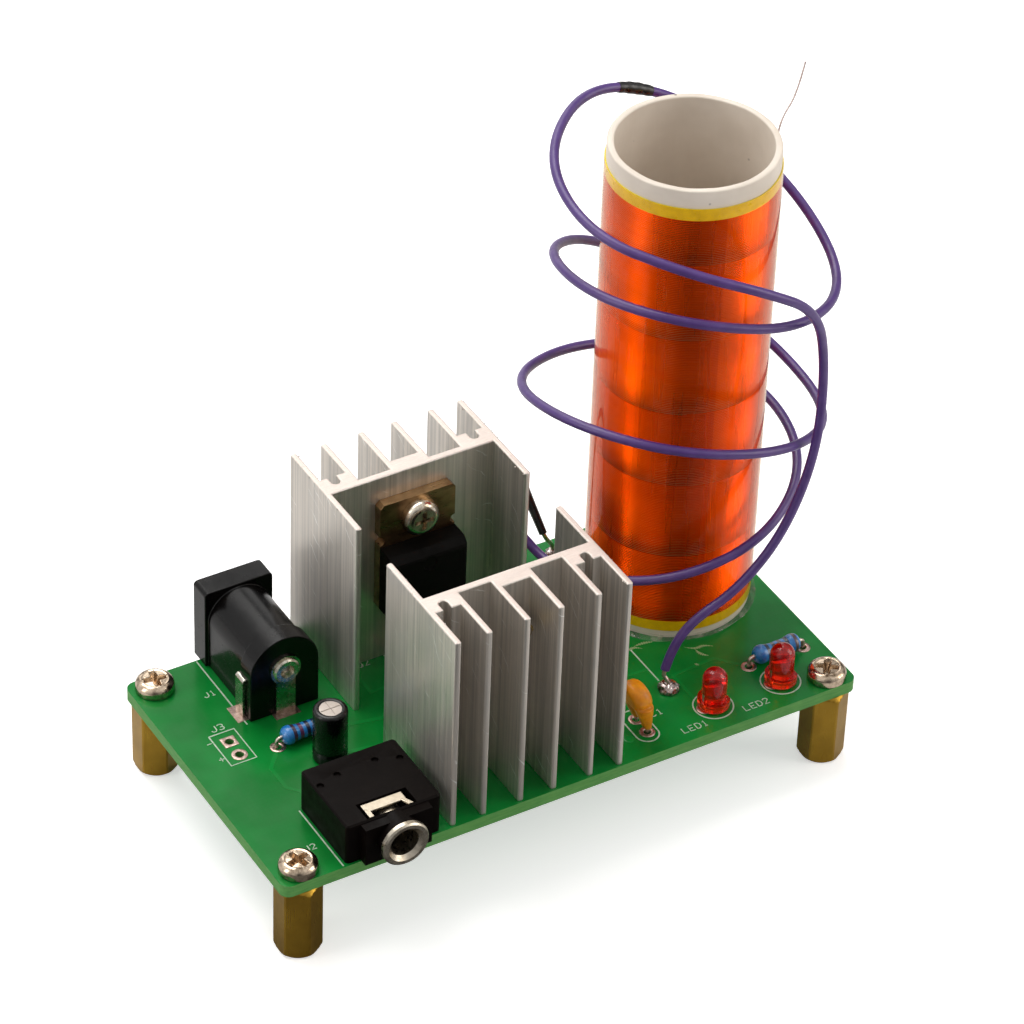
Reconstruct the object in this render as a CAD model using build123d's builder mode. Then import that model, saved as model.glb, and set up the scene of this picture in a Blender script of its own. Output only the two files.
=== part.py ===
from build123d import *
import os
from math import pi, radians, tan

# A small musical resonant transformer kit: a circuit board on four hexagonal standoffs carries two
# transistors on upright heat sinks, a power jack, an audio jack, a few small components and an
# upright wound former, round which the loose primary wire runs in three turns.
# Millimetres. X runs along the board, Y to the back, Z up; the standoffs stand on Z = 0.

os.makedirs("parts", exist_ok=True)

# ------------------------------------------------------------------ board, standoffs and screws
BOARD_LENGTH = 77.0
BOARD_WIDTH = 40.0
BOARD_THICKNESS = 1.6
BOARD_CORNER_RADIUS = 1.2
CORNER_INSET_X = 3.0            # screw centre to the short edge
CORNER_INSET_Y = 2.25           # screw centre to the long edge
CORNER_HOLE_CLEARANCE = 0.225   # round the screw
FIT = 0.02                      # running gap between a piece and the hole it is pressed or cast in
LEAD_CLEARANCE = 0.15           # a lead in its hole through the board

STANDOFF_HEIGHT = 10.0
STANDOFF_ACROSS_FLATS = 5.0
STANDOFF_CHAMFER = 0.35
STANDOFF_TOP_BORE_DEPTH = 4.9
STANDOFF_FOOT_BORE_RADIUS = 1.05
STANDOFF_FOOT_BORE_DEPTH = 4.4
BORE_CHAMFER = 0.2

SCREW_SHANK_RADIUS = 1.125
SCREW_LENGTH = 6.0
SCREW_HEAD_RADIUS = 2.35
SCREW_HEAD_HEIGHT = 1.6
SCREW_HEAD_ROUND = 0.9
SCREW_TIP_CHAMFER = 0.3
RECESS_SPAN = 2.5
RECESS_WIDTH = 0.55
RECESS_DEPTH = 0.9
RECESS_TAPER = 12.0
THREAD_CLEARANCE = 0.025

# ------------------------------------------------------------------ heat sinks
SINK_X = -5.4
REAR_SINK_BASE_Y = 10.4         # pocket side of the base plate, from the board's middle
FRONT_SINK_BASE_Y = -10.95
SINK_WIDTH = 23.0
SINK_HEIGHT = 27.0
SINK_WALL = 0.8
SINK_BASE = 0.95
SINK_POCKET_DEPTH = 7.25
SINK_FIN_REACH = 8.75
SINK_INNER_FIN = 2.2            # fin centre line from the middle
SINK_OUTER_FIN_INSET = 4.4      # from the sink's side
SINK_PAD_THICKNESS = 2.3
SINK_BOSS_THICKNESS = 2.9
SINK_BOSS_WIDTH = 4.6
GROOVE_INSET = 2.3              # groove centre line from the sink's side
GROOVE_WIDTH = 1.05
GROOVE_END = 1.4
FIN_TIP_RADIUS = 0.3
SINK_EDGE_CHAMFER = 0.12

# ------------------------------------------------------------------ transistors
TAB_WIDTH = 10.0
TAB_THICKNESS = 1.3
TAB_TOP = 23.8
TAB_CORNER = 0.5
TAB_SCREW_HEIGHT = 21.0
TAB_HOLE_RADIUS = 1.8
TAB_NOTCH_HEIGHT = 18.6
TAB_NOTCH_RADIUS = 0.6
PACKAGE_DEPTH = 4.5
PACKAGE_BOTTOM = 8.7
PACKAGE_TOP = 17.7
PACKAGE_BEVEL = 0.9
PACKAGE_EDGE = 0.2
EJECTOR_RADIUS = 0.9
EJECTOR_DEPTH = 0.12
EJECTOR_HEIGHT = 15.9
LEAD_PITCH = 2.54
LEAD_PLANE = 2.6                # lead centre plane from the seat
LEAD_WIDE = 1.3
LEAD_NARROW = 0.8
LEAD_THICKNESS = 0.5
LEAD_SHOULDER = 5.2
LEAD_IN_PACKAGE = 1.4
LEAD_END = 1.2                  # how far leads stand out below the board

# ------------------------------------------------------------------ power jack
DC_INSET_X = 14.5               # axis to the board's left edge
DC_OVERHANG = 1.4               # flange face beyond the board's back edge
DC_AXIS_HEIGHT = 6.5
DC_FLANGE_WIDTH = 9.0
DC_FLANGE_HEIGHT = 11.0
DC_FLANGE_DEPTH = 3.0
DC_FLANGE_CORNER = 0.6
DC_BARREL_RADIUS = 4.1
DC_BARREL_LENGTH = 8.8
DC_BLOCK_LENGTH = 2.6
DC_BORE_RADIUS = 3.15
DC_BORE_DEPTH = 9.4
DC_MOUTH_CHAMFER = 0.35
DC_PIN_RADIUS = 1.0
DC_PIN_ROOT_RADIUS = 1.2        # inside the moulding, behind the bore
DC_PIN_RECESS = 0.8
DC_PIN_NOSE = 0.35
RIVET_RADIUS = 1.65
RIVET_BORE_RADIUS = 0.9
RIVET_BORE_DEPTH = 1.1
RIVET_HEIGHT = 0.4
STRIP_THICKNESS = 0.3
DC_STRIP_WIDTH = 2.5
DC_CHANNEL_WIDTH = 3.0
DC_CHANNEL_FLOOR = 1.9
DC_CHANNEL_START = 1.2
DC_CHANNEL_END = 11.2
LEAF_WIDTH = 2.2
LEAF_THICKNESS = 0.2
LEAF_ROOT_DEPTH = 8.7           # from the mouth
LEAF_ROOT_HEIGHT = 2.65
LEAF_CREST_DEPTH = 3.6
LEAF_CREST_HEIGHT = 3.75
LEAF_TIP_DEPTH = 2.0
LEAF_TIP_HEIGHT = 3.1
LEAF_BEND = 0.8
SHELF_DEPTH = 10.4              # upright leg of the sleeve terminal, from the mouth
SHELF_START = 8.2
SHELF_HEIGHT = 2.0              # underside of the shelf that carries the leaf's root
SIDE_STRIP_START = 11.4
SIDE_STRIP_WIDTH = 1.8
SIDE_STRIP_TOP = 5.6
SIDE_STRIP_TONGUE = 1.2
SIDE_STRIP_GAP = 0.12

# ------------------------------------------------------------------ audio jack
AJ_INSET_X = 14.2               # axis to the board's left edge
AJ_OVERHANG = 2.7               # collar face beyond the board's front edge
AJ_AXIS_HEIGHT = 2.75
AJ_COLLAR_RADIUS = 2.95
AJ_COLLAR_LENGTH = 0.7          # the plated ring
AJ_BOSS_RADIUS = 2.7            # round boss behind the ring
AJ_BOSS_LENGTH = 1.1
AJ_BORE_RADIUS = 1.8
AJ_MOUTH_CHAMFER = 0.5
AJ_BARREL_RADIUS = 2.1
AJ_BARREL_LENGTH = 5.5
AJ_NOSE_WIDTH = 8.6
AJ_NOSE_LENGTH = 1.2
AJ_WIDTH = 12.2
AJ_HEIGHT = 5.5
AJ_LENGTH = 11.1
AJ_CORNER = 0.5
AJ_EDGE = 0.2
AJ_NOSE_STEP = 0.3              # the nose's top below the box's top
AJ_REAR_CLEARANCE = 0.15
AJ_ROOF = 0.7
AJ_WALL = 0.8
AJ_FLOOR = 0.5
AJ_CAVITY_WIDTH = 9.4
AJ_CAVITY_START = 4.1           # from the collar face
AJ_DIMPLE_RADIUS = 0.45
AJ_DIMPLE_DEPTH = 0.3
AJ_DIMPLES = [(-5.3, 10.7), (-2.7, 11.5), (2.3, 11.7), (5.0, 10.7)]
WINDOW_LEFT = -3.35
WINDOW_RIGHT = 3.05
WINDOW_START = 3.25             # from the collar face
WINDOW_END = 5.95
CLIP_LEFT = -2.9
CLIP_RIGHT = 2.3
CLIP_REAR = 5.7
CLIP_BAR = 1.3
CLIP_THICKNESS = 0.25
CLIP_HEIGHT = 5.15              # underside above the board
CLIP_LEG_WIDTH = 0.6
CLIP_LEG_START = 3.45
CLIP_SPLAY = 0.45
CONTACT_THICKNESS = 0.3
CONTACT_HEIGHT = 2.4
CONTACT_BOTTOM = 1.4
TIP_CONTACT_START = 9.0         # depths from the collar face
TIP_CONTACT_CREST = 11.6
TIP_CONTACT_END = 12.9
RING_CONTACT_START = 6.6
RING_CONTACT_CREST = 9.3
CONTACT_CREST_X = 1.9
CONTACT_TIP = 0.5
CONTACT_ROOT_X = 3.6
TERMINAL_WIDTH = 1.0

# ------------------------------------------------------------------ small components
ELCO_INSET_X = 15.3
ELCO_Y = -2.6
ELCO_RADIUS = 2.05
ELCO_SLEEVE_WALL = 0.1
ELCO_HEIGHT = 7.3
ELCO_STANDING = 0.15
ELCO_RIM = 0.4                  # how far the sleeve folds in over the top
ELCO_SLEEVE_TOP = 0.1
ELCO_BEAD_HEIGHT = 1.5
ELCO_BEAD_DEPTH = 0.18
ELCO_BUNG_HEIGHT = 1.1
ELCO_CAN_WALL = 0.3
ELCO_PITCH = 1.5
LEAD_RADIUS = 0.25
VENT_WIDTH = 0.12
VENT_DEPTH = 0.1
VENT_LENGTH = 2.4

RESISTOR_PITCH = 7.62
RESISTOR_LENGTH = 6.2
RESISTOR_RADIUS = 1.15
RESISTOR_WAIST = 0.95
RESISTOR_CAP = 1.4
RESISTOR_HEIGHT = 1.3           # axis above the board
LEFT_RESISTOR_INSET_X = 14.4
LEFT_RESISTOR_Y = 1.7
RIGHT_RESISTOR_INSET_X = 6.4
RIGHT_RESISTOR_Y = -11.9
LEAD_BEND = 0.6

LED_BODY_RADIUS = 1.5
LED_FLANGE_RADIUS = 1.95
LED_FLANGE_HEIGHT = 1.0
LED_HEIGHT = 5.3
LED_STANDING = 0.3
LED_FLAT = 1.6                  # flat on the flange from the axis
LED_PITCH = 2.54
LED_POST = 0.45
LED_POST_TOP = 3.4
LED_ANVIL_WIDTH = 1.1
LED_ANVIL_START = 2.2
LEFT_LED_INSET_X = 17.7
RIGHT_LED_INSET_X = 8.3
LED_INSET_Y = 4.1               # from the front edge

DIPPED_X = 10.2
DIPPED_INSET_Y = 3.7            # from the front edge
DIPPED_RADIUS = 2.15
DIPPED_THICKNESS = 2.5
DIPPED_CENTRE = 6.3
DIPPED_EDGE = 1.0
DIPPED_PITCH = 2.54
DIPPED_LEG_RADIUS = 0.5
DIPPED_LEG_BOTTOM = 0.6
DIPPED_LEG_TAPER = 9.0

# ------------------------------------------------------------------ former, winding and leads
FORMER_INSET_X = 10.7           # axis to the board's right edge
FORMER_Y = 5.9
FORMER_RADIUS = 10.0
FORMER_WALL = 0.85
FORMER_HEIGHT = 64.5
FORMER_RIM_CHAMFER = 0.25
WINDING_GAP = 0.03
WINDING_THICKNESS = 0.13
FILM_THICKNESS = 0.07
WINDING_START = 2.5
BAND_START = 1.1
TOP_BARE = 2.3                  # bare pipe above the upper band
TOP_BAND = 1.6
GLUE_REACHES = [1.4, 0.8, 1.0, 1.5, 0.9, 1.2, 1.6, 0.9]   # beyond the pipe, at equal turns from the right
GLUE_HEIGHT = 0.3
FINE_LEAD_RADIUS = 0.12
# The fine leads' corners: out from the pipe, along Y, and up from its rim or from the board.
UPPER_LEAD = [(0.45, -1.2, -4.9), (0.45, -1.2, -1.3), (0.9, -1.3, 0.9), (2.7, -1.1, 3.1), (3.7, -0.9, 7.1)]
LOWER_LEAD = [(0.45, 1.0, 3.4), (0.45, 1.0, 1.6), (1.6, 0.6, 0.7), (2.6, 0.2, 0.5), (2.6, 0.2, -2.4)]

# ------------------------------------------------------------------ primary wire
WIRE_RADIUS = 0.575
RUN_SHARE = 0.45                # share of the shorter run that a bend takes
# Hand-chosen corners of the wire's route, from the former's axis and the board's top.
WIRE_ROUTE = [
    (-10.3, -16.1, 2.6), (-9.4, -15.8, 5.0), (-6.8, -15.8, 8.4), (-0.8, -16.3, 11.3),
    (4.8, -16.7, 18.0), (8.4, -16.9, 28.9), (9.8, -15.1, 39.8), (6.2, -17.7, 50.2),
    (-1.2, -17.9, 55.2), (-9.3, -14.4, 58.2), (-17.0, -4.9, 60.2), (-14.8, 8.6, 62.2),
    (-3.8, 17.1, 64.0), (9.2, 14.6, 59.0), (17.2, 4.1, 50.5), (16.6, -9.1, 44.8),
    (5.2, -16.2, 46.6), (-8.8, -14.4, 51.0), (-15.8, -3.9, 51.0), (-14.3, 8.6, 49.0),
    (-3.8, 16.1, 43.0), (8.7, 14.1, 34.5), (16.7, 4.6, 27.5), (16.2, -9.1, 25.8),
    (4.7, -17.1, 30.0), (-9.3, -15.4, 33.5), (-18.3, -4.4, 34.0), (-17.3, 10.6, 30.0),
    (-4.3, 18.1, 26.0), (9.2, 14.6, 24.0), (15.7, 3.6, 21.5), (13.2, -8.4, 19.5),
    (3.7, -14.9, 16.0), (-7.8, -12.9, 12.5), (-14.8, -3.4, 9.0), (-15.4, 3.1, 7.0),
    (-17.0, 7.7, 9.6), (-19.4, 11.7, 12.8), (-19.4, 15.9, 15.6), (-16.0, 18.5, 15.6),
    (-12.5, 17.3, 12.4), (-11.7, 15.0, 9.1),
]
SPLICE_START = 114.6            # along the wire
SPLICE_LENGTH = 4.6
SLEEVE_GAP = 0.03
SLEEVE_WALL = 0.14
SHRINK_RADIUS = 0.6             # black sleeve on the wire's end
SHRINK_FOOT = (-10.8, 11.4, 3.9)
CORE_RADIUS = 0.27
PRIMARY_START = (-10.1, -16.8)  # solder pads, from the former's axis
PRIMARY_END = (-9.1, 11.7)
START_BLOB_RADIUS = 1.3
START_BLOB_HEIGHT = 1.0
END_BLOB_RADIUS = 0.9
END_BLOB_HEIGHT = 0.6
DOME_SHOULDER = 0.74            # how full a solder dome is at its shoulder
GAP_SKIP = 14.0                 # wire length left out beside each point when its passes are compared
CORE_KNEE = 0.7
CORE_START = 0.6                # where the bare core begins inside the black sleeve, of the sleeve's run

# ------------------------------------------------------------------ unpopulated header
HEADER_INSET_X = 6.25
HEADER_Y = 3.9
HEADER_PITCH = 2.54
HEADER_HOLE_RADIUS = 0.5

SOLDER_HEIGHT = 0.9
SOLDER_REACH = 0.45             # how far a joint spreads round its lead
SOLDER_TAPER = 18.0
FULL_TURN = 360.0

# ------------------------------------------------------------------ derived places
BOARD_TOP = STANDOFF_HEIGHT + BOARD_THICKNESS
LEAD_OVERHANG = FORMER_RADIUS + UPPER_LEAD[-1][0] + FINE_LEAD_RADIUS - FORMER_INSET_X
BOARD_X = -LEAD_OVERHANG / 2    # the upper lead stands out beyond the board
BOARD_Y = (AJ_OVERHANG - DC_OVERHANG) / 2
LEFT_EDGE = -BOARD_LENGTH / 2
RIGHT_EDGE = BOARD_LENGTH / 2
FRONT_EDGE = -BOARD_WIDTH / 2
BACK_EDGE = BOARD_WIDTH / 2
LEAD_FOOT = -BOARD_THICKNESS - LEAD_END
TOP_BORE_RADIUS = SCREW_SHANK_RADIUS + THREAD_CLEARANCE
CORNER_HOLE_RADIUS = SCREW_SHANK_RADIUS + CORNER_HOLE_CLEARANCE
ELCO_CAN_RADIUS = ELCO_RADIUS - ELCO_SLEEVE_WALL - FIT
DC_BLOCK_RADIUS = DC_FLANGE_WIDTH / 2
SCREW_SPACING_X = BOARD_LENGTH - 2 * CORNER_INSET_X
SCREW_SPACING_Y = BOARD_WIDTH - 2 * CORNER_INSET_Y


def stand(x=0.0, y=0.0, turned=False):
    """A frame on the board's top: x across, y to the back, z up; turned faces it the other way."""
    return Plane(origin=(BOARD_X + x, BOARD_Y + y, BOARD_TOP), x_dir=(-1 if turned else 1, 0, 0),
                 z_dir=(0, 0, 1))


def upright(frame, depth=0.0):
    """The vertical plane across a frame at a depth behind its origin; it faces the frame's front."""
    return Plane(origin=frame.from_local_coords((0, depth, 0)), x_dir=frame.x_dir, z_dir=-frame.y_dir)


def profile(frame, across=0.0):
    """The vertical plane along a frame: its x runs back, its y up, and it faces the frame's right."""
    return Plane(origin=frame.from_local_coords((across, 0, 0)), x_dir=frame.y_dir, z_dir=frame.x_dir)


def section(seat):
    """The plane through a seat's axis: x across, y along the axis."""
    return Plane(origin=seat.origin, x_dir=seat.x_dir, z_dir=-seat.y_dir)


def strip(frame, points, bend, width, thickness, across):
    """A flat strip bent along a route in a frame; across is the frame's direction of its width."""
    places = [frame.from_local_coords(point) for point in points]
    with BuildPart() as ribbon:
        with BuildLine() as route:
            FilletPolyline(*places, radius=bend)
        with BuildSketch(Plane(origin=places[0], x_dir=across, z_dir=route.line % 0)):
            Rectangle(width, thickness)
        sweep()
    return ribbon


def rod(frame, points, bend, radius):
    """A round wire bent along a route in a frame; bend is one radius or one for each corner."""
    places = [frame.from_local_coords(point) for point in points]
    with BuildPart() as wire:
        with BuildLine() as route:
            FilletPolyline(*places, radius=bend)
        with BuildSketch(Plane(origin=places[0], z_dir=route.line % 0)):
            Circle(radius)
        sweep()
    return wire


def save(piece, name):
    piece.part.label = name
    export_step(piece.part, f"parts/{name}.step")


BOARD = stand()
CORNERS = GridLocations(SCREW_SPACING_X, SCREW_SPACING_Y, 2, 2)
REAR_SEAT = stand(SINK_X, REAR_SINK_BASE_Y)
FRONT_SEAT = stand(SINK_X, FRONT_SINK_BASE_Y, turned=True)
DC_JACK = stand(LEFT_EDGE + DC_INSET_X, BACK_EDGE + DC_OVERHANG, turned=True)
AUDIO_JACK = stand(LEFT_EDGE + AJ_INSET_X, FRONT_EDGE - AJ_OVERHANG)
ELCO = stand(LEFT_EDGE + ELCO_INSET_X, ELCO_Y)
LEFT_RESISTOR = stand(LEFT_EDGE + LEFT_RESISTOR_INSET_X, LEFT_RESISTOR_Y)
RIGHT_RESISTOR = stand(RIGHT_EDGE - RIGHT_RESISTOR_INSET_X, RIGHT_RESISTOR_Y)
LEFT_LED = stand(RIGHT_EDGE - LEFT_LED_INSET_X, FRONT_EDGE + LED_INSET_Y)
RIGHT_LED = stand(RIGHT_EDGE - RIGHT_LED_INSET_X, FRONT_EDGE + LED_INSET_Y)
DIPPED = stand(DIPPED_X, FRONT_EDGE + DIPPED_INSET_Y)
FORMER = stand(RIGHT_EDGE - FORMER_INSET_X, FORMER_Y)
HEADER = stand(LEFT_EDGE + HEADER_INSET_X, HEADER_Y)


def round_lead_spots():
    """Every round lead's place on the board with its radius, as a point and a radius."""
    spots = []
    for frame, pitch, radius in (
        (ELCO, ELCO_PITCH, LEAD_RADIUS),
        (LEFT_RESISTOR, RESISTOR_PITCH, LEAD_RADIUS),
        (RIGHT_RESISTOR, RESISTOR_PITCH, LEAD_RADIUS),
        (DIPPED, DIPPED_PITCH, LEAD_RADIUS),
    ):
        for across in (-pitch / 2, pitch / 2):
            spots.append((frame.from_local_coords((across, 0, 0)), radius))
    for pad in (PRIMARY_START, PRIMARY_END):
        spots.append((FORMER.from_local_coords((pad[0], pad[1], 0)), CORE_RADIUS))
    lower = beside_pipe(LOWER_LEAD, -1)[-1]
    spots.append((FORMER.from_local_coords((lower[0], lower[1], 0)), FINE_LEAD_RADIUS))
    return spots


def flat_lead_spots():
    """Every flat lead's place on the board with its width and thickness."""
    spots = []
    for frame in (REAR_SEAT, FRONT_SEAT):
        for across in (-LEAD_PITCH, 0, LEAD_PITCH):
            spots.append((frame.from_local_coords((across, -LEAD_PLANE, 0)), LEAD_NARROW, LEAD_THICKNESS))
    for frame in (LEFT_LED, RIGHT_LED):
        for across in (-LED_PITCH / 2, LED_PITCH / 2):
            spots.append((frame.from_local_coords((across, 0, 0)), LED_POST, LED_POST))
    rear_strip = DC_FLANGE_DEPTH + DC_BARREL_LENGTH + DC_BLOCK_LENGTH + STRIP_THICKNESS / 2
    spots.append((DC_JACK.from_local_coords((0, rear_strip, 0)), DC_STRIP_WIDTH, STRIP_THICKNESS))
    spots.append((DC_JACK.from_local_coords((0, SHELF_DEPTH, 0)), LEAF_WIDTH, STRIP_THICKNESS))
    side_x = DC_BLOCK_RADIUS + SIDE_STRIP_GAP + STRIP_THICKNESS / 2
    side_y = SIDE_STRIP_START + SIDE_STRIP_WIDTH / 2
    spots.append((DC_JACK.from_local_coords((side_x, side_y, 0)), STRIP_THICKNESS, SIDE_STRIP_WIDTH))
    for across, depth in audio_terminal_places():
        spots.append((AUDIO_JACK.from_local_coords((across, depth, 0)), CONTACT_THICKNESS, TERMINAL_WIDTH))
    return spots


def audio_terminal_places():
    """Where the audio jack's terminals go through the board: across and depth."""
    return [
        (-CONTACT_ROOT_X, TIP_CONTACT_START + TERMINAL_WIDTH / 2),
        (CONTACT_ROOT_X, RING_CONTACT_START + TERMINAL_WIDTH / 2),
        (CONTACT_ROOT_X, AJ_CAVITY_START + TERMINAL_WIDTH / 2 + FIT),
    ]


def circuit_board():
    """The rounded board with its screw holes and a hole for every lead."""
    with BuildPart() as board:
        with BuildSketch(BOARD):
            RectangleRounded(BOARD_LENGTH, BOARD_WIDTH, BOARD_CORNER_RADIUS)
            with CORNERS:
                Circle(CORNER_HOLE_RADIUS, mode=Mode.SUBTRACT)
            for spot, radius in round_lead_spots():
                with Locations(BOARD.to_local_coords(spot)):
                    Circle(radius + LEAD_CLEARANCE, mode=Mode.SUBTRACT)
            for spot, across, deep in flat_lead_spots():
                with Locations(BOARD.to_local_coords(spot)):
                    Rectangle(across + 2 * LEAD_CLEARANCE, deep + 2 * LEAD_CLEARANCE, mode=Mode.SUBTRACT)
            for step in (-HEADER_PITCH / 2, HEADER_PITCH / 2):
                with Locations(BOARD.to_local_coords(HEADER.from_local_coords((0, step, 0)))):
                    Circle(HEADER_HOLE_RADIUS, mode=Mode.SUBTRACT)
        extrude(amount=-BOARD_THICKNESS)
    return board


def standoffs():
    """Four hexagonal pillars, each tapped blind from both ends."""
    foot = BOARD.offset(-BOARD_TOP)
    top = BOARD.offset(-BOARD_THICKNESS)
    with BuildPart() as pillars:
        with BuildSketch(foot):
            with CORNERS:
                RegularPolygon(STANDOFF_ACROSS_FLATS / 2, 6, major_radius=False)
        extrude(amount=STANDOFF_HEIGHT)
        ends = pillars.faces().group_by(Axis.Z)
        chamfer(ends[0].edges() + ends[-1].edges(), length=STANDOFF_CHAMFER)
        with BuildSketch(top):
            with CORNERS:
                Circle(TOP_BORE_RADIUS)
        extrude(amount=-STANDOFF_TOP_BORE_DEPTH, mode=Mode.SUBTRACT)
        with BuildSketch(foot):
            with CORNERS:
                Circle(STANDOFF_FOOT_BORE_RADIUS)
        extrude(amount=STANDOFF_FOOT_BORE_DEPTH, mode=Mode.SUBTRACT)
    return pillars


def pan_screw(seat):
    """A pan head cross recess screw; the seat lies under its head and faces outward."""
    with BuildPart() as screw:
        with BuildSketch(section(seat)) as half:
            with BuildLine():
                Polyline(
                    (0, SCREW_HEAD_HEIGHT),
                    (0, -SCREW_LENGTH),
                    (SCREW_SHANK_RADIUS - SCREW_TIP_CHAMFER, -SCREW_LENGTH),
                    (SCREW_SHANK_RADIUS, SCREW_TIP_CHAMFER - SCREW_LENGTH),
                    (SCREW_SHANK_RADIUS, 0),
                    (SCREW_HEAD_RADIUS, 0),
                    (SCREW_HEAD_RADIUS, SCREW_HEAD_HEIGHT),
                    close=True,
                )
            make_face()
            fillet(half.vertices().sort_by_distance((SCREW_HEAD_RADIUS, SCREW_HEAD_HEIGHT))[0],
                   radius=SCREW_HEAD_ROUND)
        revolve(axis=Axis(seat.origin, seat.z_dir))
        with BuildSketch(seat.offset(SCREW_HEAD_HEIGHT)):
            Rectangle(RECESS_SPAN, RECESS_WIDTH)
            Rectangle(RECESS_WIDTH, RECESS_SPAN)
        extrude(amount=-RECESS_DEPTH, taper=RECESS_TAPER, mode=Mode.SUBTRACT)
    return screw


def standoff_screws():
    """The four screws that hold the board to its standoffs."""
    corners = [pan_screw(stand(corner.position.X, corner.position.Y)) for corner in CORNERS.locations]
    with BuildPart() as screws:
        for corner_screw in corners:
            add(corner_screw.part)
    return screws


def heat_sink(seat):
    """An extruded sink: a walled pocket on the transistor's side, fins and screw grooves behind."""
    half = SINK_WIDTH / 2
    walls = [-half + SINK_WALL / 2, half - SINK_WALL / 2]
    outer_fin = half - SINK_OUTER_FIN_INSET
    fins = [-outer_fin, -SINK_INNER_FIN, SINK_INNER_FIN, outer_fin]
    groove = half - GROOVE_INSET
    with BuildPart() as sink:
        with BuildSketch(seat) as outline:
            Rectangle(SINK_WIDTH, SINK_BASE, align=(Align.CENTER, Align.MIN))
            Rectangle(2 * SINK_INNER_FIN, SINK_PAD_THICKNESS, align=(Align.CENTER, Align.MIN))
            for middle in (SINK_BOSS_WIDTH / 2 - half, half - SINK_BOSS_WIDTH / 2):
                with Locations((middle, 0)):
                    Rectangle(SINK_BOSS_WIDTH, SINK_BOSS_THICKNESS, align=(Align.CENTER, Align.MIN))
            for middle in walls:
                with Locations((middle, -SINK_POCKET_DEPTH)):
                    Rectangle(SINK_WALL, SINK_POCKET_DEPTH + SINK_FIN_REACH, align=(Align.CENTER, Align.MIN))
            for middle in fins:
                with Locations((middle, 0)):
                    Rectangle(SINK_WALL, SINK_FIN_REACH, align=(Align.CENTER, Align.MIN))
            ends = outline.vertices().group_by(Axis.Y)
            fillet(ends[0] + ends[-1], radius=FIN_TIP_RADIUS)
            for middle in (-groove, groove):
                with Locations((middle, GROOVE_END + GROOVE_WIDTH / 2)):
                    Circle(GROOVE_WIDTH / 2, mode=Mode.SUBTRACT)
                    Rectangle(GROOVE_WIDTH, SINK_BOSS_THICKNESS, align=(Align.CENTER, Align.MIN),
                              mode=Mode.SUBTRACT)
        extrude(amount=SINK_HEIGHT)
        with BuildSketch(upright(seat)):
            with Locations((0, TAB_SCREW_HEIGHT)):
                Circle(TOP_BORE_RADIUS)
        extrude(amount=-SINK_PAD_THICKNESS, mode=Mode.SUBTRACT)
        chamfer(sink.faces().sort_by(Axis.Z)[-1].outer_wire().edges(), length=SINK_EDGE_CHAMFER)
    return sink


def transistor_bridge(seat, grow):
    """The centre lead and the foot that joins it to the tab, grown by a clearance for the cut."""
    with BuildPart() as bridge:
        with BuildSketch(seat.offset(PACKAGE_BOTTOM)):
            with Locations((0, -LEAD_PLANE)):
                Rectangle(LEAD_WIDE + 2 * grow, LEAD_THICKNESS + 2 * grow)
            with Locations((0, -TAB_THICKNESS)):
                Rectangle(LEAD_WIDE + 2 * grow, LEAD_PLANE - TAB_THICKNESS, align=(Align.CENTER, Align.MAX))
        extrude(amount=LEAD_IN_PACKAGE + grow)
    return bridge


def flat_lead(seat, across, top):
    """One stamped lead: wide above its shoulder, narrow down through the board."""
    with BuildPart() as lead:
        with BuildSketch(upright(seat, LEAD_THICKNESS / 2 - LEAD_PLANE)):
            with BuildLine():
                Polyline(
                    (across - LEAD_WIDE / 2, top),
                    (across - LEAD_WIDE / 2, LEAD_SHOULDER),
                    (across - LEAD_NARROW / 2, LEAD_SHOULDER - LEAD_NARROW / 2),
                    (across - LEAD_NARROW / 2, LEAD_FOOT),
                    (across + LEAD_NARROW / 2, LEAD_FOOT),
                    (across + LEAD_NARROW / 2, LEAD_SHOULDER - LEAD_NARROW / 2),
                    (across + LEAD_WIDE / 2, LEAD_SHOULDER),
                    (across + LEAD_WIDE / 2, top),
                    close=True,
                )
            make_face()
        extrude(amount=LEAD_THICKNESS)
    return lead


def transistor_frame(seat):
    """The metal tab with its screw hole and notches, in one piece with the centre lead."""
    centre_lead = flat_lead(seat, 0, PACKAGE_BOTTOM + LEAD_IN_PACKAGE)
    bridge = transistor_bridge(seat, 0)
    with BuildPart() as frame:
        with BuildSketch(upright(seat)) as face:
            with Locations((0, PACKAGE_BOTTOM)):
                Rectangle(TAB_WIDTH, TAB_TOP - PACKAGE_BOTTOM, align=(Align.CENTER, Align.MIN))
            chamfer(face.vertices().group_by(Axis.Y)[-1], length=TAB_CORNER)
            with Locations((0, TAB_SCREW_HEIGHT)):
                Circle(TAB_HOLE_RADIUS, mode=Mode.SUBTRACT)
            for edge in (-TAB_WIDTH / 2, TAB_WIDTH / 2):
                with Locations((edge, TAB_NOTCH_HEIGHT)):
                    Circle(TAB_NOTCH_RADIUS, mode=Mode.SUBTRACT)
        extrude(amount=TAB_THICKNESS)
        add(centre_lead.part)
        add(bridge.part)
    return frame


def transistor_leads(seat):
    """The two outer leads of a transistor."""
    left = flat_lead(seat, -LEAD_PITCH, PACKAGE_BOTTOM)
    right = flat_lead(seat, LEAD_PITCH, PACKAGE_BOTTOM)
    with BuildPart() as leads:
        add(left.part)
        add(right.part)
    return leads


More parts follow.
